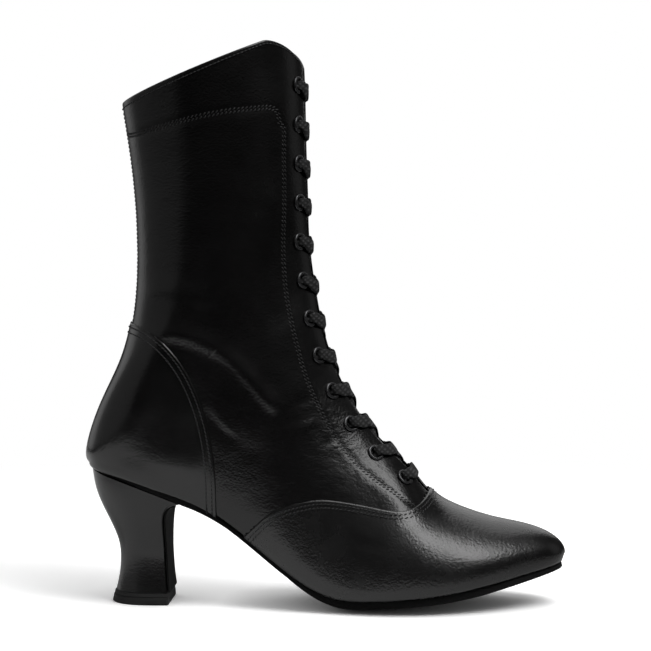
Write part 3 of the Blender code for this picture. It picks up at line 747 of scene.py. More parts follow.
def leather(name, roughness, wrinkle, grain, shine=0.9, flexed=None):
    """Grained leather: pebbles and pores over wrinkles that deepen where it flexes, unevenly polished."""
    material, tree, shader = new_material(name, BLACK, roughness)
    link = tree.links.new
    place = own_place(tree)
    stretch = texture(tree, "ShaderNodeMapping", place, Scale=FOLD_STRETCH).outputs["Vector"]
    fold = texture(tree, "ShaderNodeTexNoise", stretch, Scale=150.0, Detail=5.0, Roughness=0.62)
    pebble = texture(tree, "ShaderNodeTexVoronoi", place, Scale=1000.0, feature="SMOOTH_F1")
    pore = texture(tree, "ShaderNodeTexNoise", place, Scale=600.0, Detail=5.0, Roughness=0.6)
    cloud = texture(tree, "ShaderNodeTexNoise", place, Scale=45.0, Detail=5.0, Roughness=0.6)
    height = node(tree, "ShaderNodeMath", operation="MULTIPLY_ADD")
    height.inputs[1].default_value = PEBBLE_SHARE
    link(pebble.outputs["Distance"], height.inputs[0])
    link(pore.outputs["Fac"], height.inputs[2])
    folds = bump(tree, fold.outputs["Fac"], wrinkle, FOLD_DEPTH)
    if flexed:
        away = node(tree, "ShaderNodeVectorMath", operation="DISTANCE")
        link(place, away.inputs[0])
        away.inputs[1].default_value = FLEX_CENTRE
        depth = map_range(tree, away.outputs["Value"], FLEX_REACH, (flexed, wrinkle), "SMOOTHSTEP")
        link(depth, folds.inputs["Strength"])
    grains = bump(tree, height.outputs[0], grain, GRAIN_DEPTH)
    link(folds.outputs["Normal"], grains.inputs["Normal"])
    link(grains.outputs["Normal"], shader.inputs["Normal"])
    uneven = (roughness - POLISH[0], roughness + POLISH[1])
    link(map_range(tree, cloud.outputs["Fac"], CLOUD_RANGE, uneven), shader.inputs["Roughness"])
    shader.inputs["Specular IOR Level"].default_value = shine
    return material


def suede(name, colour, roughness=0.9):
    """Matte napped leather."""
    material, tree, shader = new_material(name, colour, roughness)
    shader.inputs["Specular IOR Level"].default_value = SUEDE_SHINE
    place = own_place(tree)
    nap = texture(tree, "ShaderNodeTexNoise", place, Scale=1500.0, Detail=4.0)
    cloud = texture(tree, "ShaderNodeTexNoise", place, Scale=60.0, Detail=5.0)
    emboss(tree, shader, nap.outputs["Fac"], 0.6, NAP_DEPTH)
    shade = shade_between(tree, cloud.outputs["Fac"], colour, 0.7, 1.4)
    tree.links.new(shade, shader.inputs["Base Color"])
    return material


def thread(name, colour):
    """Waxed sewing thread."""
    material, tree, shader = new_material(name, colour, 0.5)
    twist = texture(tree, "ShaderNodeTexNoise", own_place(tree), Scale=2500.0, Detail=2.0)
    emboss(tree, shader, twist.outputs["Fac"], 0.5, TWIST_DEPTH)
    return material


def woven(name, colour):
    """Cotton tape: two crossing sets of fine ribs, with painted shade: its colour is darker in the hollows
    and lighter on the crests, following the rib height.
    """
    material, tree, shader = new_material(name, colour, 0.85)
    link = tree.links.new
    shader.inputs["Specular IOR Level"].default_value = COTTON_SHINE
    weave = node(tree, "ShaderNodeMath", operation="MULTIPLY")
    place = own_place(tree)
    for socket, turn in zip(weave.inputs, (RIB_LEAN, -RIB_LEAN)):
        lean = texture(tree, "ShaderNodeMapping", place, Rotation=(0.0, turn, 0.0)).outputs["Vector"]
        ribs = texture(tree, "ShaderNodeTexWave", lean, Scale=170.0, Distortion=2.5, Detail=2.0)
        link(ribs.outputs["Fac"], socket)
    emboss(tree, shader, weave.outputs[0], 0.9, RIB_DEPTH)
    # Painted shade and highlight of the ribs: the colour follows the rib height, dark in the hollows, light
    # on the crests
    link(shade_between(tree, weave.outputs[0], colour, 0.35, 3.0), shader.inputs["Base Color"])
    return material


def enamel(name, colour):
    """Dark enamelled metal, unevenly polished by wear."""
    material, tree, shader = new_material(name, colour, 0.3)
    wear = texture(tree, "ShaderNodeTexNoise", own_place(tree), Scale=700.0, Detail=5.0)
    rough = map_range(tree, wear.outputs["Fac"], (0.0, 1.0), ENAMEL_ROUGHNESS)
    tree.links.new(rough, shader.inputs["Roughness"])
    shader.inputs["Metallic"].default_value = 0.85
    return material


LEATHER = leather("upper_leather", 0.22, wrinkle=0.06, grain=0.8, shine=0.65, flexed=0.7)
VAMP_LEATHER = leather("vamp_leather", 0.25, wrinkle=0.15, grain=1.0)
COUNTER_LEATHER = leather("counter_leather", 0.20, wrinkle=0.02, grain=0.3, shine=0.8)
HEEL_LEATHER = leather("heel_leather", 0.22, wrinkle=0.05, grain=0.4, shine=0.72)
LINING = suede("lining_leather", (0.030, 0.026, 0.023), 0.8)
SOLE_SUEDE = suede("sole_suede", (0.004, 0.004, 0.004))
INSOLE_LEATHER = suede("insole_leather", (0.10, 0.08, 0.06), 0.65)
LIFT_RUBBER = suede("lift_rubber", (0.02, 0.02, 0.02), 0.6)
THREAD = thread("thread", (0.012, 0.012, 0.0125))
EYELET_METAL = enamel("eyelet_metal", (0.07, 0.07, 0.072))
LACE_COTTON = woven("lace_cotton", (0.014, 0.014, 0.0143))


# Seams as lines of station and arc

def vamp_curve():
    """Side-view line of the vamp's upper edge."""
    start = (VAMP_START_X, feather_z(VAMP_START_X) + VAMP_START_LIFT)
    points = np.array([start] + [tuple(p) for p in VAMP_SEAM])
    run = run_length(points)
    return natural_spline(run, points)(np.linspace(0, run[-1], 400))


VAMP_CURVE = vamp_curve()
COUNTER_BACK_X = float(LAST(STATION["ankle"])[0]) - COUNTER_PAST_BACK


def inside_vamp(x, z):
    """Positive below the vamp's upper edge."""
    edge = np.interp(x, VAMP_CURVE[:, 0], VAMP_CURVE[:, 1], left=-100.0, right=400.0)
    return edge - z


def inside_counter(x, z):
    """Positive behind and below the counter's edge."""
    across = np.maximum(x - COUNTER_BACK_X, 0) / (COUNTER_FRONT_X - COUNTER_BACK_X)
    up = np.maximum(z - COUNTER_BEND_Z, 0) / (COUNTER_TOP_Z - COUNTER_BEND_Z)
    return 1 - across ** 2 - up ** 2


def seam_arcs(side, inside):
    """Arc of a seam at every station, with its panel between it and the keel; NaN where there is none."""
    points = SIDES[side].points
    value = inside(points[..., 0], points[..., 2])
    arcs = np.full(STATION_STEPS, np.nan)
    for i in range(STATION_STEPS):
        if value[i, -1] <= 0:
            continue
        outside = np.nonzero(value[i] <= 0)[0]
        if len(outside) == 0:
            arcs[i] = 0.0
            continue
        j = outside[-1]
        part = value[i, j] / (value[i, j] - value[i, j + 1])
        arcs[i] = (SHARES[j] + part / SHARE_STEPS) * SIDES[side].length[i]
    return arcs


def panel_stations(side, arcs, spacing):
    """Stations of a panel's rows, closer where its seam crosses the girth fast or its keel turns."""
    known = np.nonzero(~np.isnan(arcs))[0]
    t = STATIONS[known]
    keel = np.linalg.norm(np.diff(SIDES[side].points[known, -1], axis=0), axis=1)
    pace = np.maximum(np.maximum(np.diff(t) / STATION_PACE, np.abs(np.diff(arcs[known]))), keel)
    run = np.concatenate([[0.0], np.cumsum(pace)])
    even = np.linspace(0, run[-1], int(run[-1] / spacing) + 1)
    stations = np.interp(even, run, t)
    return stations, np.interp(stations, t, arcs[known])


def edge_columns(start, length, count):
    """Arcs of a panel's row: close together at the seam edge, then even to the keel."""
    width = length - start
    near = EDGE_STEPS * np.minimum(1, width / EDGE_FULL_WIDTH)
    rest = np.linspace(0, 1, count)[1:]
    return np.concatenate([start + near, start + near[-1] + rest * (width - near[-1])])


# Creases and seam dips of the leather

def crease_relief(points, crease):
    """Height that one crease adds at points of the leather."""
    line = np.array([tuple(p) for p in crease.line])
    run = run_length(line)
    along = np.linspace(0, run[-1], CREASE_STEPS)
    path = natural_spline(run, line)(along)
    tangent = unit(np.gradient(path, axis=0))
    flat = points[..., [0, 2]].reshape(-1, 2)
    gap = flat[:, None, :] - path[None, :, :]
    near = (gap ** 2).sum(axis=2).argmin(axis=1)
    gap = gap[np.arange(len(flat)), near]
    across = tangent[near, 0] * gap[:, 1] - tangent[near, 1] * gap[:, 0]
    width = np.where(across > 0, crease.above, crease.below)
    fade = smooth_step(np.minimum(along[near], run[-1] - along[near]), 0, min(CREASE_FADE, run[-1] / 2))
    past = np.einsum("ij,ij->i", gap, tangent[near]) ** 2
    height = crease.height * fade * np.exp(-(across / width) ** 2 - past / CREASE_END ** 2)
    return height.reshape(points.shape[:-1])


def wrinkle_relief(points):
    """Small irregular wrinkles of soft leather, longer along the foot than up the leg."""
    flat = (points / WRINKLE_SIZE).reshape(-1, 3)
    broad = np.array([noise.noise(Vector(p)) for p in flat])
    fine = np.array([noise.noise(Vector(p)) for p in WRINKLE_FINE * flat])
    return WRINKLE_HEIGHT * (broad + WRINKLE_FINE_SHARE * fine).reshape(points.shape[:-1])


def relief(points, softness=1.0):
    """Height of creases and wrinkles over the smooth leather; stiff panels have fewer wrinkles."""
    height = softness * wrinkle_relief(points)
    for crease in CREASES:
        height = height + crease_relief(points, crease)
    return height


# Upper

def collar_share(arc):
    """Share of the leg height kept at a distance from the facing edge, for a round front corner."""
    run = np.clip((arc - HALF_GAPS["collar"]) / CORNER_RUN, 0, 1)
    return 1 - CORNER_DROP * (1 - run) ** CORNER_POWER


def eyelet_stations():
    """Stations of the eyelets from the top pair to the bottom pair, evenly spaced along the facing."""
    stations = np.linspace(THROAT, COLLAR, 240)
    line = skin(1, stations, half_gap(stations) + EYELET_SETBACK)
    run = run_length(line)
    top = np.interp(TOP_EYELET_Z, line[:, 2], run)
    return np.interp(top - np.arange(EYELET_PAIRS) * EYELET_PITCH, run, stations)


EYELETS = eyelet_stations()
EYELET_ARCS = half_gap(EYELETS) + EYELET_SETBACK


def quarter_grid(side):
    """Stations and arcs of one quarter, from the facing edge to the keel and up to the collar."""
    low = THROAT - QUARTER_TUCK
    rows = np.linspace(low, COLLAR, int((COLLAR - low) / STATION_PACE / QUARTER_SPACING))
    stations = np.sort(np.concatenate([rows, COLLAR - COLLAR_STEPS, HEEL_CORNER - HEEL_STEPS]))[:, None]
    edge = half_gap(stations)
    near = EDGE_STEPS / QUARTER_GIRTH
    spread = np.concatenate([near, near[-1] + np.linspace(0, 1, QUARTER_COLUMNS)[1:] * (1 - near[-1])])
    at_collar = edge + spread * (girth_length(side, COLLAR) - edge)
    scaled = HEEL_CORNER + (stations - HEEL_CORNER) * collar_share(at_collar)
    t = np.where(stations > HEEL_CORNER, scaled, stations)
    arc = edge + spread * (girth_length(side, t) - edge)
    return t, arc, np.minimum(arc - edge, (COLLAR - stations) / STATION_PACE)


def edge_roll(distance, radius, height):
    """How far a rounded edge drops below the face."""
    inside = np.clip(1 - distance / radius, 0, 1)
    return -height * (1 - np.sqrt(1 - inside ** 2))


def quarter_surface(side):
    """Outside of one quarter, with its rolled edges, its creases and the dip along its seam."""
    t, arc, from_edge = quarter_grid(side)
    base = skin(side, t, arc)
    path = facing_line(side)
    seam = resample(skin(side, path[:, 0], path[:, 1]), SEAM_SPACING)
    dip = SEAM_DIP * np.exp(-(line_distance(base, seam) / SEAM_DIP_WIDTH) ** 2)
    soft = smooth_step(from_edge, *CALM_EDGE)
    return skin(side, t, arc, edge_roll(from_edge, *QUARTER_EDGE) + soft * relief(base) - dip)


def build_quarters():
    """Outer and inner quarters in one piece, joined at the back seam and pierced for the eyelets."""
    piece = two_sided("quarters", quarter_surface, LEATHER)
    piece.data.materials.append(LINING)
    pierce(piece)
    thicken(piece, UPPER_WALL, inner_slot=1)
    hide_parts("upper")


def pierce(piece):
    """Remove the faces inside each eyelet hole."""
    centres = to_world(np.concatenate([skin(side, EYELETS, EYELET_ARCS) for side in (-1, 1)]))
    with edited(piece.data) as shape:
        middles = np.array([f.calc_center_median() for f in shape.faces])
        near = line_distance(middles, centres) < EYELET_HOLE * MM
        bmesh.ops.delete(shape, geom=[f for f, hit in zip(shape.faces, near) if hit], context="FACES")


def overlay(name, inside, node_name, material, columns, softness, lasted=False):
    """Panel on the quarters with a rounded upper edge, down to the sole; a lasted one thins out there."""

    def surface(side):
        stations, seam = panel_stations(side, seam_arcs(side, inside), PANEL_SPACING)
        length = girth_length(side, stations)
        arc = np.array([edge_columns(a, b, columns) for a, b in zip(seam, length)])
        t = np.repeat(stations[:, None], arc.shape[1], axis=1)
        line = resample(skin(side, stations, seam)[seam > 0.01], EDGE_SPACING)
        base = skin(side, t, arc)
        height = OVERLAY_HEIGHT + edge_roll(line_distance(base, line), *PANEL_EDGE) + relief(base, softness)
        if lasted:
            full = smooth_step(length[:, None] - arc, 0.0, LASTED_RUN)
            height *= LASTED_SHARE + (1 - LASTED_SHARE) * full
        return skin(side, t, arc, height)

    piece = two_sided(name, surface, material)
    thicken(piece, OVERLAY_WALL)
    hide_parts(node_name)


def build_tongue():
    """Soft tongue under the lacing opening."""
    stations = np.linspace(THROAT, COLLAR, 400)
    top = np.interp(TONGUE_TOP_Z, LAST(stations)[:, 3], stations)
    start = THROAT - TONGUE_TUCK
    rows = np.linspace(start, top, 160)
    columns = np.linspace(-1, 1, 41)
    spread = np.interp(rows, [start, THROAT + TONGUE_WIDEN], [TONGUE_NARROW, 1.0])
    near_top = np.clip(rows - top + TONGUE_ROUND, 0, TONGUE_ROUND) / TONGUE_ROUND
    rounded = np.sqrt(np.clip(1 - near_top ** 2 * TONGUE_ROUND_SHARE, 0, 1))
    depth = np.interp(rows, THROAT + np.array(TONGUE_SINK), [TONGUE_SEAT, TONGUE_DEPTH])
    arc = columns[None, :] * (TONGUE_HALF_WIDTH * spread * rounded)[:, None]
    grid = signed(skin, rows[:, None], arc, -depth[:, None])
    piece = make_piece("tongue_piece", grid.reshape(-1, 3), grid_faces(*grid.shape[:2]), LEATHER)
    thicken(piece, TONGUE_WALL)
    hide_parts("tongue")


# Sole, insole and heel

def edge_thickness(x):
    """Thickness of the outsole at its edge, thin at both ends and along the shank."""
    back = [SEAT_THICKNESS, BREAST_THICKNESS, SHANK_THICKNESS, SHANK_THICKNESS]
    front = [FOREPART_THICKNESS, FOREPART_THICKNESS, TOE_THICKNESS]
    return np.interp(x, THICKNESS_X + [SOLE_END], back + front)


def outsole_thickness(x, across):
    """Edge thickness, with the forepart crowned towards its middle."""
    edge = edge_thickness(x)
    crown = np.interp(x, CROWN_X + [SOLE_END], [0, SOLE_CROWN, SOLE_CROWN, 0])
    return edge + crown * (1 - across ** 2)


def even_thickness(x, across):
    """Insole of one thickness."""
    return INSOLE_THICKNESS + 0 * across


def sole_ring(x, outer, inner, top, thickness, radius):
    """Closed outline across a sole plate, with rounded edges."""
    middle = (inner - outer) / 2
    half = (inner + outer) / 2
    edge_drop = float(thickness(x, 1.0))
    radius = min(radius, 0.45 * half, 0.49 * edge_drop)
    across = np.linspace(-1, 1, 33)
    flat = across * (half - radius)
    turn = np.linspace(0, math.pi / 2, 5)[1:]
    right = [(half - radius + radius * math.sin(a), top - radius + radius * math.cos(a)) for a in turn]
    low = top - edge_drop + radius
    right += [(half - radius + radius * math.cos(a), low - radius * math.sin(a)) for a in turn]
    upper_side = [(y, top) for y in flat]
    lower_side = [(y, top - t) for y, t in zip(flat[::-1], thickness(x, across[::-1]))]
    left = [(-y, h) for y, h in reversed(right)]
    section = np.array(upper_side + right + lower_side[1:-1] + left)
    base = np.array([x, middle, feather_z(x)])
    return base + section[:, :1] * np.array([0, 1, 0]) + section[:, 1:] * feather_normal(x)


def sole_plate(name, margins, top, thickness, radius, material):
    """Closed plate along the sole edge, widened by margins at heel and toe, and never below the floor."""
    start = SOLE_START - margins[0]
    end = SOLE_END + margins[1]
    rings = []
    for angle in np.linspace(SOLE_TIP_ANGLE, math.pi - SOLE_TIP_ANGLE, SOLE_RINGS):
        share = (1 - math.cos(angle)) / 2
        margin = np.interp(share, MARGIN_SHARES, margins) * min(1, 3 * math.sin(angle))
        outer, inner = OUTLINE(angle) + margin
        ring = sole_ring(start + share * (end - start), outer, inner, top, thickness, radius)
        ring[:, 2] = np.maximum(ring[:, 2], 0.0)
        rings.append(ring)
    return loft(name, rings, material)


def build_soles():
    """Outsole with a rounded edge, and the insole."""
    outsole = sole_plate("sole", (SEAT_MARGIN, TOE_MARGIN), -GAP, outsole_thickness, SOLE_ROUND, SOLE_SUEDE)
    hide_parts("outsole")
    margins = (-INSOLE_INSET, -INSOLE_INSET)
    insole = sole_plate("sock", margins, INSOLE_THICKNESS, even_thickness, INSOLE_ROUND, INSOLE_LEATHER)
    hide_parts("insole")


HEEL_SPLINE = natural_spline(
    np.array([row.rise for row in HEEL_ROWS]),
    np.array([tuple(row)[1:] for row in HEEL_ROWS]),
)


def seat_z(x):
    """Underside of the sole on the heel, less the fitting gap."""
    return feather_z(x) - (GAP + edge_thickness(x) + SEAT_GAP) / feather_normal(x)[2]


def heel_z(rise, x):
    """Height on the heel block at a share of the way to the inclined seat."""
    low = LIFT_HEIGHT + GAP
    return low + rise * (seat_z(x) - low)


def heel_outline(back, breast, half_width):
    """Plan outline of the heel: round at the back, straight sides, flat breast with soft corners."""
    length = breast - back
    half = []
    for angle in np.linspace(0, math.pi / 2, 25):
        half.append((back + HEEL_ROUND * length * (1 - math.cos(angle)), half_width * math.sin(angle)))
    for share in np.linspace(HEEL_ROUND, HEEL_SIDE_SHARES[-1], 8)[1:]:
        width = np.interp(share, HEEL_SIDE_SHARES, HEEL_SIDE_WIDTHS)
        half.append((back + share * length, half_width * width))
    corner = BREAST_CORNER * length
    for angle in np.linspace(0, math.pi / 2, 6)[1:]:
        width = BREAST_WIDTH + BREAST_CORNER_WIDTH * math.cos(angle)
        half.append((breast - corner * (1 - math.sin(angle)), half_width * width))
    for share in (0.66, 0.33):
        half.append((breast, half_width * BREAST_WIDTH * share))
    return half + [(breast, 0.0)] + [(x, -y) for x, y in reversed(half[1:])]


def build_heel():
    """Covered heel block with a waist, its breast flap and the top lift."""
    rings = []
    for rise in np.linspace(0, 1, HEEL_RINGS):
        rings.append([(x, y, heel_z(rise, x)) for x, y in heel_outline(*HEEL_SPLINE(rise))])
    heel = loft("heel_block", rings, HEEL_LEATHER)
    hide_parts("heel")

    rises = np.linspace(0, FLAP_TOP, 60)
    across = np.linspace(-1, 1, 25)
    points = []
    for rise in rises:
        breast, half_width = HEEL_SPLINE(rise)[1:]
        front = breast + COVER_GAP + COVER_WALL
        points += [(front, share * half_width * FLAP_WIDTH, heel_z(rise, breast)) for share in across]
    flap = make_piece("breast_flap", points, grid_faces(len(rises), len(across)), SOLE_SUEDE)
    thicken(flap, COVER_WALL)
    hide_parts("heel_breast_cover")

    rings = [[(x, y, z) for x, y in heel_outline(*row)] for z, *row in LIFT_ROWS]
    lift = loft("lift", rings, LIFT_RUBBER)
    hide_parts("top_lift")


# Eyelets and lace

def build_eyelets():
    """Rolled metal eyelets: a rounded flange and a barrel through the leather."""
    profile = [(EYELET_BORE, z) for z in (-EYELET_DEPTH, -1.0, 0.2)]
    for angle in np.linspace(math.pi, 0, 9):
        rise = FLANGE_BASE + FLANGE_RISE * math.sin(angle)
        profile.append((FLANGE_MIDDLE + FLANGE_HALF * math.cos(angle), rise))
    profile = np.array(profile + [(4.1, 0.05), (EYELET_BARREL, -0.1), (EYELET_BARREL, -EYELET_DEPTH)])
    count = len(profile)
    points = []
    faces = []
    for side in (-1, 1):
        normals = skin_normal(side, EYELETS, EYELET_ARCS)
        for centre, normal in zip(skin(side, EYELETS, EYELET_ARCS), normals):
            across = unit(np.cross(normal, [0.0, 1.0, 0.3]))
            along = np.cross(normal, across)
            start = len(points)
            for a in np.linspace(0, 2 * math.pi, EYELET_TURNS, endpoint=False):
                radial = math.cos(a) * across + math.sin(a) * along
                points.extend(centre + profile[:, :1] * radial + profile[:, 1:] * normal)
            for i in range(EYELET_TURNS):
                here = start + i * count
                there = start + (i + 1) % EYELET_TURNS * count
                for j in range(count):
                    k = (j + 1) % count
                    faces.append((here + j, here + k, there + k, there + j))
    piece = make_piece("eyelets", points, faces, EYELET_METAL, weld=False)
    names = [f"eyelet_{side}_{k:02d}" for side in ("outer", "inner") for k in range(1, EYELET_PAIRS + 1)]
    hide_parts(*names)


LaceKey = namedtuple("LaceKey", "t arc height width thickness")


def lace_ribbon(keys, points, faces):
    """Flat lace through its key places, added to the lists of points and faces."""
    table = np.array([tuple(key) for key in keys])
    spots = signed(skin, table[:, 0], table[:, 1], table[:, 2])
    normals = signed(skin_normal, table[:, 0], table[:, 1])
    run = run_length(spots)
    spline = natural_spline(run, np.column_stack([spots, normals, table[:, 3:]]))
    sample = spline(np.linspace(0, run[-1], max(12, int(run[-1] / LACE_SPACING))))
    line, normal, width, thickness = sample[:, :3], sample[:, 3:6], sample[:, 6], sample[:, 7]
    along = unit(np.gradient(line, axis=0))
    across = unit(np.cross(normal, along))
    up = np.cross(along, across)
    angles = np.linspace(0, 2 * math.pi, LACE_AROUND, endpoint=False)
    round_x = np.sign(np.cos(angles)) * np.abs(np.cos(angles)) ** LACE_ROUND[0]
    round_z = np.sign(np.sin(angles)) * np.abs(np.sin(angles)) ** LACE_ROUND[1]
    faces += tube_faces(len(line), len(angles), start=len(points))
    for i in range(len(line)):
        ring = width[i] / 2 * round_x[:, None] * across[i] + thickness[i] / 2 * round_z[:, None] * up[i]
        points.extend(line[i] + ring)


def lace_strand(side, lower, upper, over):
    """Keys of one strand: from inside a lower eyelet, under one facing, over the other, into the next."""
    rise = upper - lower
    lower_edge, upper_edge = half_gap(lower), half_gap(upper)
    lower_hole = lower_edge + EYELET_SETBACK
    upper_hole = upper_edge + EYELET_SETBACK
    crossing = LACE_OVER if over else LACE_UNDER
    return [
        LaceKey(lower, -side * lower_hole, -3.4, LACE_IN_HOLE, 1.4),
        LaceKey(lower + 0.05 * rise, -side * (lower_edge + 5.0), -3.1, 5.6, LACE_THICKNESS),
        LaceKey(lower + 0.16 * rise, -side * (lower_edge - 0.3), -3.0, LACE_WIDTH, LACE_THICKNESS),
        LaceKey(lower + 0.36 * rise, 0.0, crossing, LACE_WIDTH, LACE_THICKNESS),
        LaceKey(lower + 0.50 * rise, side * 0.60 * upper_edge, -0.9, LACE_WIDTH, LACE_THICKNESS),
        LaceKey(lower + 0.60 * rise, side * 0.86 * upper_edge, 0.75, LACE_WIDTH, LACE_THICKNESS),
        LaceKey(lower + 0.72 * rise, side * (upper_edge + 2.4), 1.2, LACE_WIDTH, LACE_THICKNESS),
        LaceKey(lower + 0.85 * rise, side * (upper_edge + 5.2), 1.95, 6.2, LACE_THICKNESS),
        LaceKey(lower + 0.96 * rise, side * (upper_hole - 1.5), 1.75, 5.0, 1.4),
        LaceKey(lower + 1.00 * rise, side * (upper_hole - 0.3), 0.0, LACE_IN_HOLE, 1.5),
        LaceKey(lower + 1.00 * rise, side * (upper_hole - 0.6), -3.2, LACE_IN_HOLE, 1.5),
    ]


def lace_bar_keys(t):
    """Keys of the straight run over the lowest pair of eyelets."""
    edge = float(half_gap(t))
    hole = edge + EYELET_SETBACK
    half = [
        (0.0, hole - 0.6, -3.2, LACE_IN_HOLE, 1.5),
        (0.0, hole - 0.3, 0.0, LACE_IN_HOLE, 1.5),
        (-0.5, hole - 1.5, 1.75, 5.0, 1.4),
        (-2.5, edge + 5.2, 1.95, 6.2, LACE_THICKNESS),
        (-5.0, edge + 1.8, 1.2, LACE_WIDTH, LACE_THICKNESS),
        (-7.0, edge * 0.5, 0.2, LACE_WIDTH, LACE_THICKNESS),
    ]
    keys = [LaceKey(t + shift, -arc, *rest) for shift, arc, *rest in half]
    keys += [LaceKey(t + shift, arc, *rest) for shift, arc, *rest in reversed(half)]
    return keys


def build_lace():
    """Crossed lacing up the front with a bar at the bottom; its ends stop inside the top eyelets."""
    points = []
    faces = []
    for k in range(EYELET_PAIRS - 1):
        for side in (-1, 1):
            lace_ribbon(lace_strand(side, EYELETS[k + 1], EYELETS[k], side < 0), points, faces)
    lace_ribbon(lace_bar_keys(EYELETS[-1]), points, faces)
    piece = make_piece("lace", points, faces, LACE_COTTON, weld=False)
    names = [f"lace_cross_{k:02d}" for k in range(1, EYELET_PAIRS)] + ["lace_bar"]
    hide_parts(*names)


# Stitching

def stitch_shape():
    """One stitch along X: a short arched thread whose ends dive into the leather."""
    along = np.linspace(-1, 1, 7)
    angles = np.linspace(0, 2 * math.pi, 6, endpoint=False)
    rings = []
    for s in along:
        radius = THREAD_RADIUS * math.sqrt(max(STITCH_TIP, 1 - s ** 4))
        lift = STITCH_ARCH - STITCH_DIVE * s ** 2
        ring = [(s * STITCH_LENGTH / 2, radius * math.cos(a), lift + radius * math.sin(a)) for a in angles]
        rings.append(ring)
    return np.array(rings).reshape(-1, 3), tube_faces(len(along), len(angles))


def build_stitches(name, rows, slant=0.0):
    """Joined stitches along rows of points with their leather normals."""
    shape, shape_faces = stitch_shape()
    points = []
    faces = []
    for line, normals in rows:
        tangent = unit(np.gradient(line, axis=0))
        across = np.cross(normals, tangent)
        turned = tangent * math.cos(slant) + across * math.sin(slant)
        sideways = np.cross(normals, turned)
        for p, x, y, z in zip(line, turned, sideways, normals):
            start = len(points)
            points.extend(p + shape[:, :1] * x + shape[:, 1:2] * y + shape[:, 2:] * z)
            faces += [tuple(start + k for k in face) for face in shape_faces]
    make_piece(name, points, faces, THREAD, weld=False)


def place_rows(side, t, arc, offsets, height):
    """Rows of evenly spaced stitch places beside a line, with normals; offsets lean towards the keel."""
    line = skin(side, t, arc)
    run = run_length(line)
    normal = skin_normal(side, t, arc)
    across = np.cross(normal, unit(np.gradient(line, axis=0)))
    lean = np.sign(np.sum(across * (skin(side, t, arc + 1.0) - line)))
    even = np.arange(STITCH_PITCH / 2, run[-1], STITCH_PITCH)
    rows = []
    for offset in offsets:
        path = line + lean * offset * across
        path = path + (height + relief(path))[:, None] * normal
        rows.append((along_line(even, run, path), unit(along_line(even, run, normal))))
    return rows


def facing_line(side):
    """Station and arc of the stitched line: from the back seam along the cuff, then down to the vamp."""
    cuff = np.array([at_side(side, p.x, p.z) for p in CUFF_SEAM])
    step = cuff[0] - cuff[1]
    short = girth_length(side, cuff[0, 0]) - BACK_ROW - ROW_SPACING - cuff[0, 1]
    if short > 0:
        cuff = np.vstack([cuff[0] + step * short / step[1], cuff])
    vamp = seam_arcs(side, inside_vamp)
    stations = np.linspace(cuff[-1, 0] - FACING_ENDS[0], THROAT - FACING_ENDS[1], 200)
    facing = np.column_stack([stations, half_gap(stations) + FACING_STITCH])
    edge = np.interp(stations, STATIONS, np.nan_to_num(vamp, nan=1e3))
    facing = facing[facing[:, 1] < edge - 0.5]
    path = np.vstack([cuff, facing])
    run = run_length(skin(side, path[:, 0], path[:, 1]))
    turn = len(cuff) + 1
    smooth = natural_spline(run[:turn], path[:turn])(np.linspace(0, run[turn - 1], 160))
    return np.vstack([smooth, facing[1:]])


def panel_line(side, inside):
    """Station and arc of a panel's edge, less a short run at the back seam, the ridge and the sole."""
    stations, seam = panel_stations(side, seam_arcs(side, inside), 0.5)
    keep = (seam > PANEL_SPARE) & (girth_length(side, stations) - seam > PANEL_SPARE)
    return stations[keep], seam[keep]


def build_stitching():
    """All visible seams of the upper."""
    facing = []
    edges = []
    panels = []
    for side in (-1, 1):
        path = facing_line(side)
        rope = (-ROW_SPACING / 2, ROW_SPACING / 2)
        facing += place_rows(side, path[:, 0], path[:, 1], rope, -SEAM_DIP)
        panels += place_rows(side, *panel_line(side, inside_vamp), VAMP_ROWS, OVERLAY_HEIGHT)
        panels += place_rows(side, *panel_line(side, inside_counter), COUNTER_ROWS, OVERLAY_HEIGHT)
        t, arc = (grid[-1, COLLAR_SKIP:] for grid in quarter_grid(side)[:2])
        edges += place_rows(side, t - STATION_PACE * COLLAR_ROW, arc, (0.0,), 0.0)
        back = np.linspace(STATION["counter top"] + BACK_ROW_ENDS[0], COLLAR - BACK_ROW_ENDS[1], 200)
        edges += place_rows(side, back, girth_length(side, back) - BACK_ROW, (0.0,), 0.0)
    build_stitches("facing_stitches", facing, slant=FACING_SLANT)
    build_stitches("panel_stitches", panels, slant=PANEL_SLANT)
    build_stitches("edge_stitches", edges)


build_quarters()
overlay("vamp_panel", inside_vamp, "vamp", VAMP_LEATHER, 56, 0.6, lasted=True)
overlay("counter_panel", inside_counter, "heel_counter", COUNTER_LEATHER, 60, 0.05)
build_tongue()
build_soles()
build_heel()
build_eyelets()
build_lace()
build_stitching()


# Studio: camera angles in degrees and its target in millimetres, the rest in metres and radiance
CAMERA_AZIMUTH = 3.4
CAMERA_ELEVATION = 3.53
CAMERA_DISTANCE = 1.1445
CAMERA_FOCAL_PX = 2256.7
CAMERA_TARGET = (121.12, 0.0, 141.26)
SENSOR_MM = 36.0
IMAGE_PX = 651
FLOOR_HALF = 6.0
FLOOR_GLOW = 0.54
PAPER = (0.9, 0.9, 0.9, 1.0)
# Floor colours for rays other than the camera's: a painted pool of light, pale near the boot, with painted
# shade beyond
PAINTED_POOL = (0.66, 0.66, 0.66, 1.0)
PAINTED_SHADE_FLOOR = (0.02, 0.02, 0.02, 1.0)
WHITE = (1.0, 1.0, 1.0, 1.0)
WHITE_REACH = (0.25, 0.6)
# Edges of the painted pool of light on the floor: axis, with its dark end and its lit end
PAINTED_POOL_EDGES = (("Y", (-0.36, -0.29)), ("X", (-0.7, -0.5)), ("X", (0.4, -0.1)))
# Reach of the painted contact shadow: occlusion that darkens the floor's glow near the boot
SHADOW_REACH = 0.035
ROOM_LIGHT = 0.03

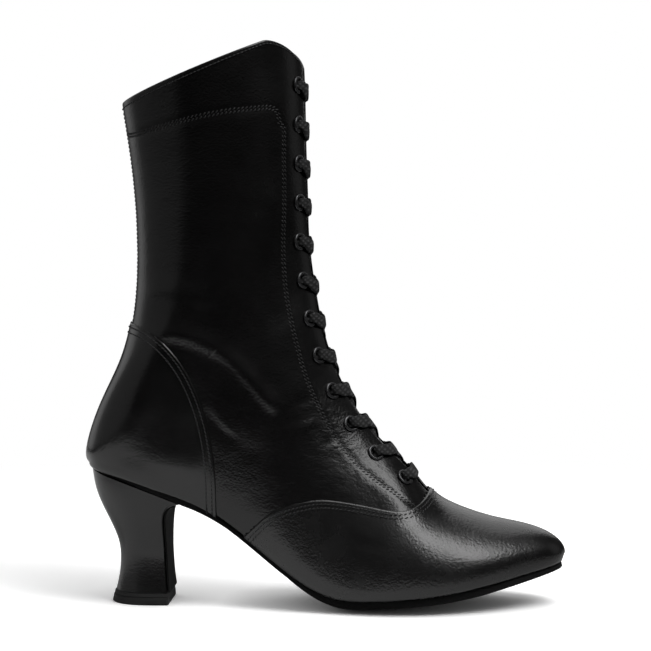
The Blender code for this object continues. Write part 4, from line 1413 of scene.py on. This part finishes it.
# Lights: place, aim, size and radiance; the layers are shares of a light's size
Light = namedtuple("Light", "name place target size brightness")
SOFTBOX = Light("softbox", (0.50, -0.40, 1.2), (0.05, 0.0, 0.0), (0.6, 1.4), 3.8)
SOFTBOX_LAYERS = (1.0, 0.85, 0.7, 0.55, 0.4, 0.25)
LEFT = Light("left", (-1.1, -0.05, 0.42), (0.0, 0.0, 0.25), (2.6, 1.3), 0.16)
LEFT_LAYERS = (1.0, 0.8, 0.6, 0.4, 0.2)
PLAIN_LIGHTS = (
    Light("front", (-0.3, -2.0, 0.15), (0.0, 0.0, 0.15), (1.8, 0.8), 0.015),
    Light("top", (0.0, -1.6, 1.3), (0.0, 0.0, 0.1), (2.2, 0.9), 0.08),
    Light("right", (1.1, 0.4, 0.35), (0.0, 0.0, 0.2), (0.5, 0.8), 0.12),
    Light("rim", (-1.1, 0.9, 0.3), (0.0, 0.0, 0.2), (0.8, 1.0), 0.3),
    Light("back", (0.0, 1.2, 1.1), (0.0, 0.0, 0.1), (1.4, 2.2), 0.7),
)


def build_camera():
    """Camera at the photograph's viewing angle."""
    azimuth = math.radians(CAMERA_AZIMUTH)
    elevation = math.radians(CAMERA_ELEVATION)
    flat = math.cos(elevation)
    away = Vector((math.sin(azimuth) * flat, -math.cos(azimuth) * flat, math.sin(elevation)))
    lens = bpy.data.cameras.new("camera")
    lens.sensor_width = SENSOR_MM
    lens.lens = CAMERA_FOCAL_PX * SENSOR_MM / IMAGE_PX
    lens.clip_start = 0.01
    camera = bpy.data.objects.new("camera", lens)
    bpy.context.scene.collection.objects.link(camera)
    target = Vector(to_world(CAMERA_TARGET))
    turn = (-away).to_track_quat("-Z", "Y").to_matrix().to_4x4()
    camera.matrix_world = Matrix.Translation(target + away * CAMERA_DISTANCE) @ turn
    bpy.context.scene.camera = camera


def mix_shaders(tree, factor, first, second):
    """One shader where the factor is 0, another where it is 1."""
    mix = node(tree, "ShaderNodeMixShader")
    tree.links.new(factor, mix.inputs["Fac"])
    tree.links.new(first, mix.inputs[1])
    tree.links.new(second, mix.inputs[2])
    return mix.outputs["Shader"]


def camera_only(tree, seen, unseen):
    """Shows one shader to the camera and lets another light the boot."""
    path = node(tree, "ShaderNodeLightPath")
    return mix_shaders(tree, path.outputs["Is Camera Ray"], unseen, seen)


def build_floor():
    """Pale floor, seen by the camera as white with the boot's soft shadow, partly lit and partly a painted
    contact shadow that darkens its glow; other rays see a painted pool of light on it, pale near the boot
    and dark beyond.
    """
    mesh = bpy.data.meshes.new("floor")
    corners = [(x * FLOOR_HALF, y * FLOOR_HALF, 0.0) for x, y in ((-1, -1), (1, -1), (1, 1), (-1, 1))]
    mesh.from_pydata(corners, [], [(0, 1, 2, 3)])
    material = bpy.data.materials.new("floor_white")
    material.use_nodes = True
    tree = material.node_tree
    tree.nodes.remove(tree.nodes["Principled BSDF"])
    link = tree.links.new
    paper = node(tree, "ShaderNodeBsdfDiffuse", Color=PAPER)
    # Painted contact shadow: the floor's glow is darkened where the boot is near
    painted_contact_shadow = node(tree, "ShaderNodeAmbientOcclusion", samples=8, Distance=SHADOW_REACH)
    glow = node(tree, "ShaderNodeEmission", Strength=FLOOR_GLOW)
    link(painted_contact_shadow.outputs["Color"], glow.inputs["Color"])
    lit = node(tree, "ShaderNodeAddShader")
    link(paper.outputs["BSDF"], lit.inputs[0])
    link(glow.outputs["Emission"], lit.inputs[1])
    white = node(tree, "ShaderNodeEmission", Strength=1.0)
    dark = node(tree, "ShaderNodeBsdfDiffuse", Color=PAINTED_SHADE_FLOOR).outputs["BSDF"]
    place = own_place(tree)
    reach = node(tree, "ShaderNodeVectorMath", operation="LENGTH")
    link(place, reach.inputs[0])
    away = map_range(tree, reach.outputs["Value"], WHITE_REACH, kind="SMOOTHSTEP")
    seen = mix_shaders(tree, away, lit.outputs["Shader"], white.outputs["Emission"])
    axes = node(tree, "ShaderNodeSeparateXYZ")
    link(place, axes.inputs[0])
    # Painted pool of light for rays other than the camera's: pale paper near the boot, fading to painted
    # shade past its edges
    unseen = node(tree, "ShaderNodeBsdfDiffuse", Color=PAINTED_POOL).outputs["BSDF"]
    for axis, edge in PAINTED_POOL_EDGES:
        in_painted_pool = map_range(tree, axes.outputs[axis], edge, kind="SMOOTHSTEP")
        unseen = mix_shaders(tree, in_painted_pool, dark, unseen)
    link(camera_only(tree, seen, unseen), tree.nodes["Material Output"].inputs["Surface"])
    mesh.materials.append(material)
    floor = bpy.data.objects.new("floor", mesh)
    bpy.context.scene.collection.objects.link(floor)


def add_light(name, place, target, size, brightness):
    """Soft rectangular light aimed at a point, unseen by the camera; brightness is its radiance."""
    lamp = bpy.data.lights.new(name, "AREA")
    lamp.shape = "RECTANGLE"
    lamp.size, lamp.size_y = size
    lamp.energy = brightness * math.pi * size[0] * size[1]
    light = bpy.data.objects.new(name, lamp)
    light.location = place
    aim = Vector(target) - Vector(place)
    light.rotation_euler = aim.to_track_quat("-Z", "Y").to_euler()
    light.visible_camera = False
    bpy.context.scene.collection.objects.link(light)


def build_lights():
    """Layered softbox and left light that fade towards their rims, and the plain fills."""
    for share in SOFTBOX_LAYERS:
        width, height = SOFTBOX.size
        add_light(*SOFTBOX._replace(size=(share * width, share * height)))
    for share in LEFT_LAYERS:
        width, height = LEFT.size
        add_light(*LEFT._replace(size=(share * width, height)))
    for light in PLAIN_LIGHTS:
        add_light(*light)


def build_world():
    """White surround for the camera in a dim room."""
    world = bpy.data.worlds.new("studio")
    world.use_nodes = True
    tree = world.node_tree
    room = tree.nodes["Background"]
    room.inputs["Color"].default_value = WHITE
    room.inputs["Strength"].default_value = ROOM_LIGHT
    white = node(tree, "ShaderNodeBackground", Color=WHITE, Strength=1.0)
    surface = camera_only(tree, white.outputs["Background"], room.outputs["Background"])
    tree.links.new(surface, tree.nodes["World Output"].inputs["Surface"])
    bpy.context.scene.world = world


build_camera()
build_floor()
build_world()
build_lights()
bpy.context.scene.view_settings.view_transform = "Standard"
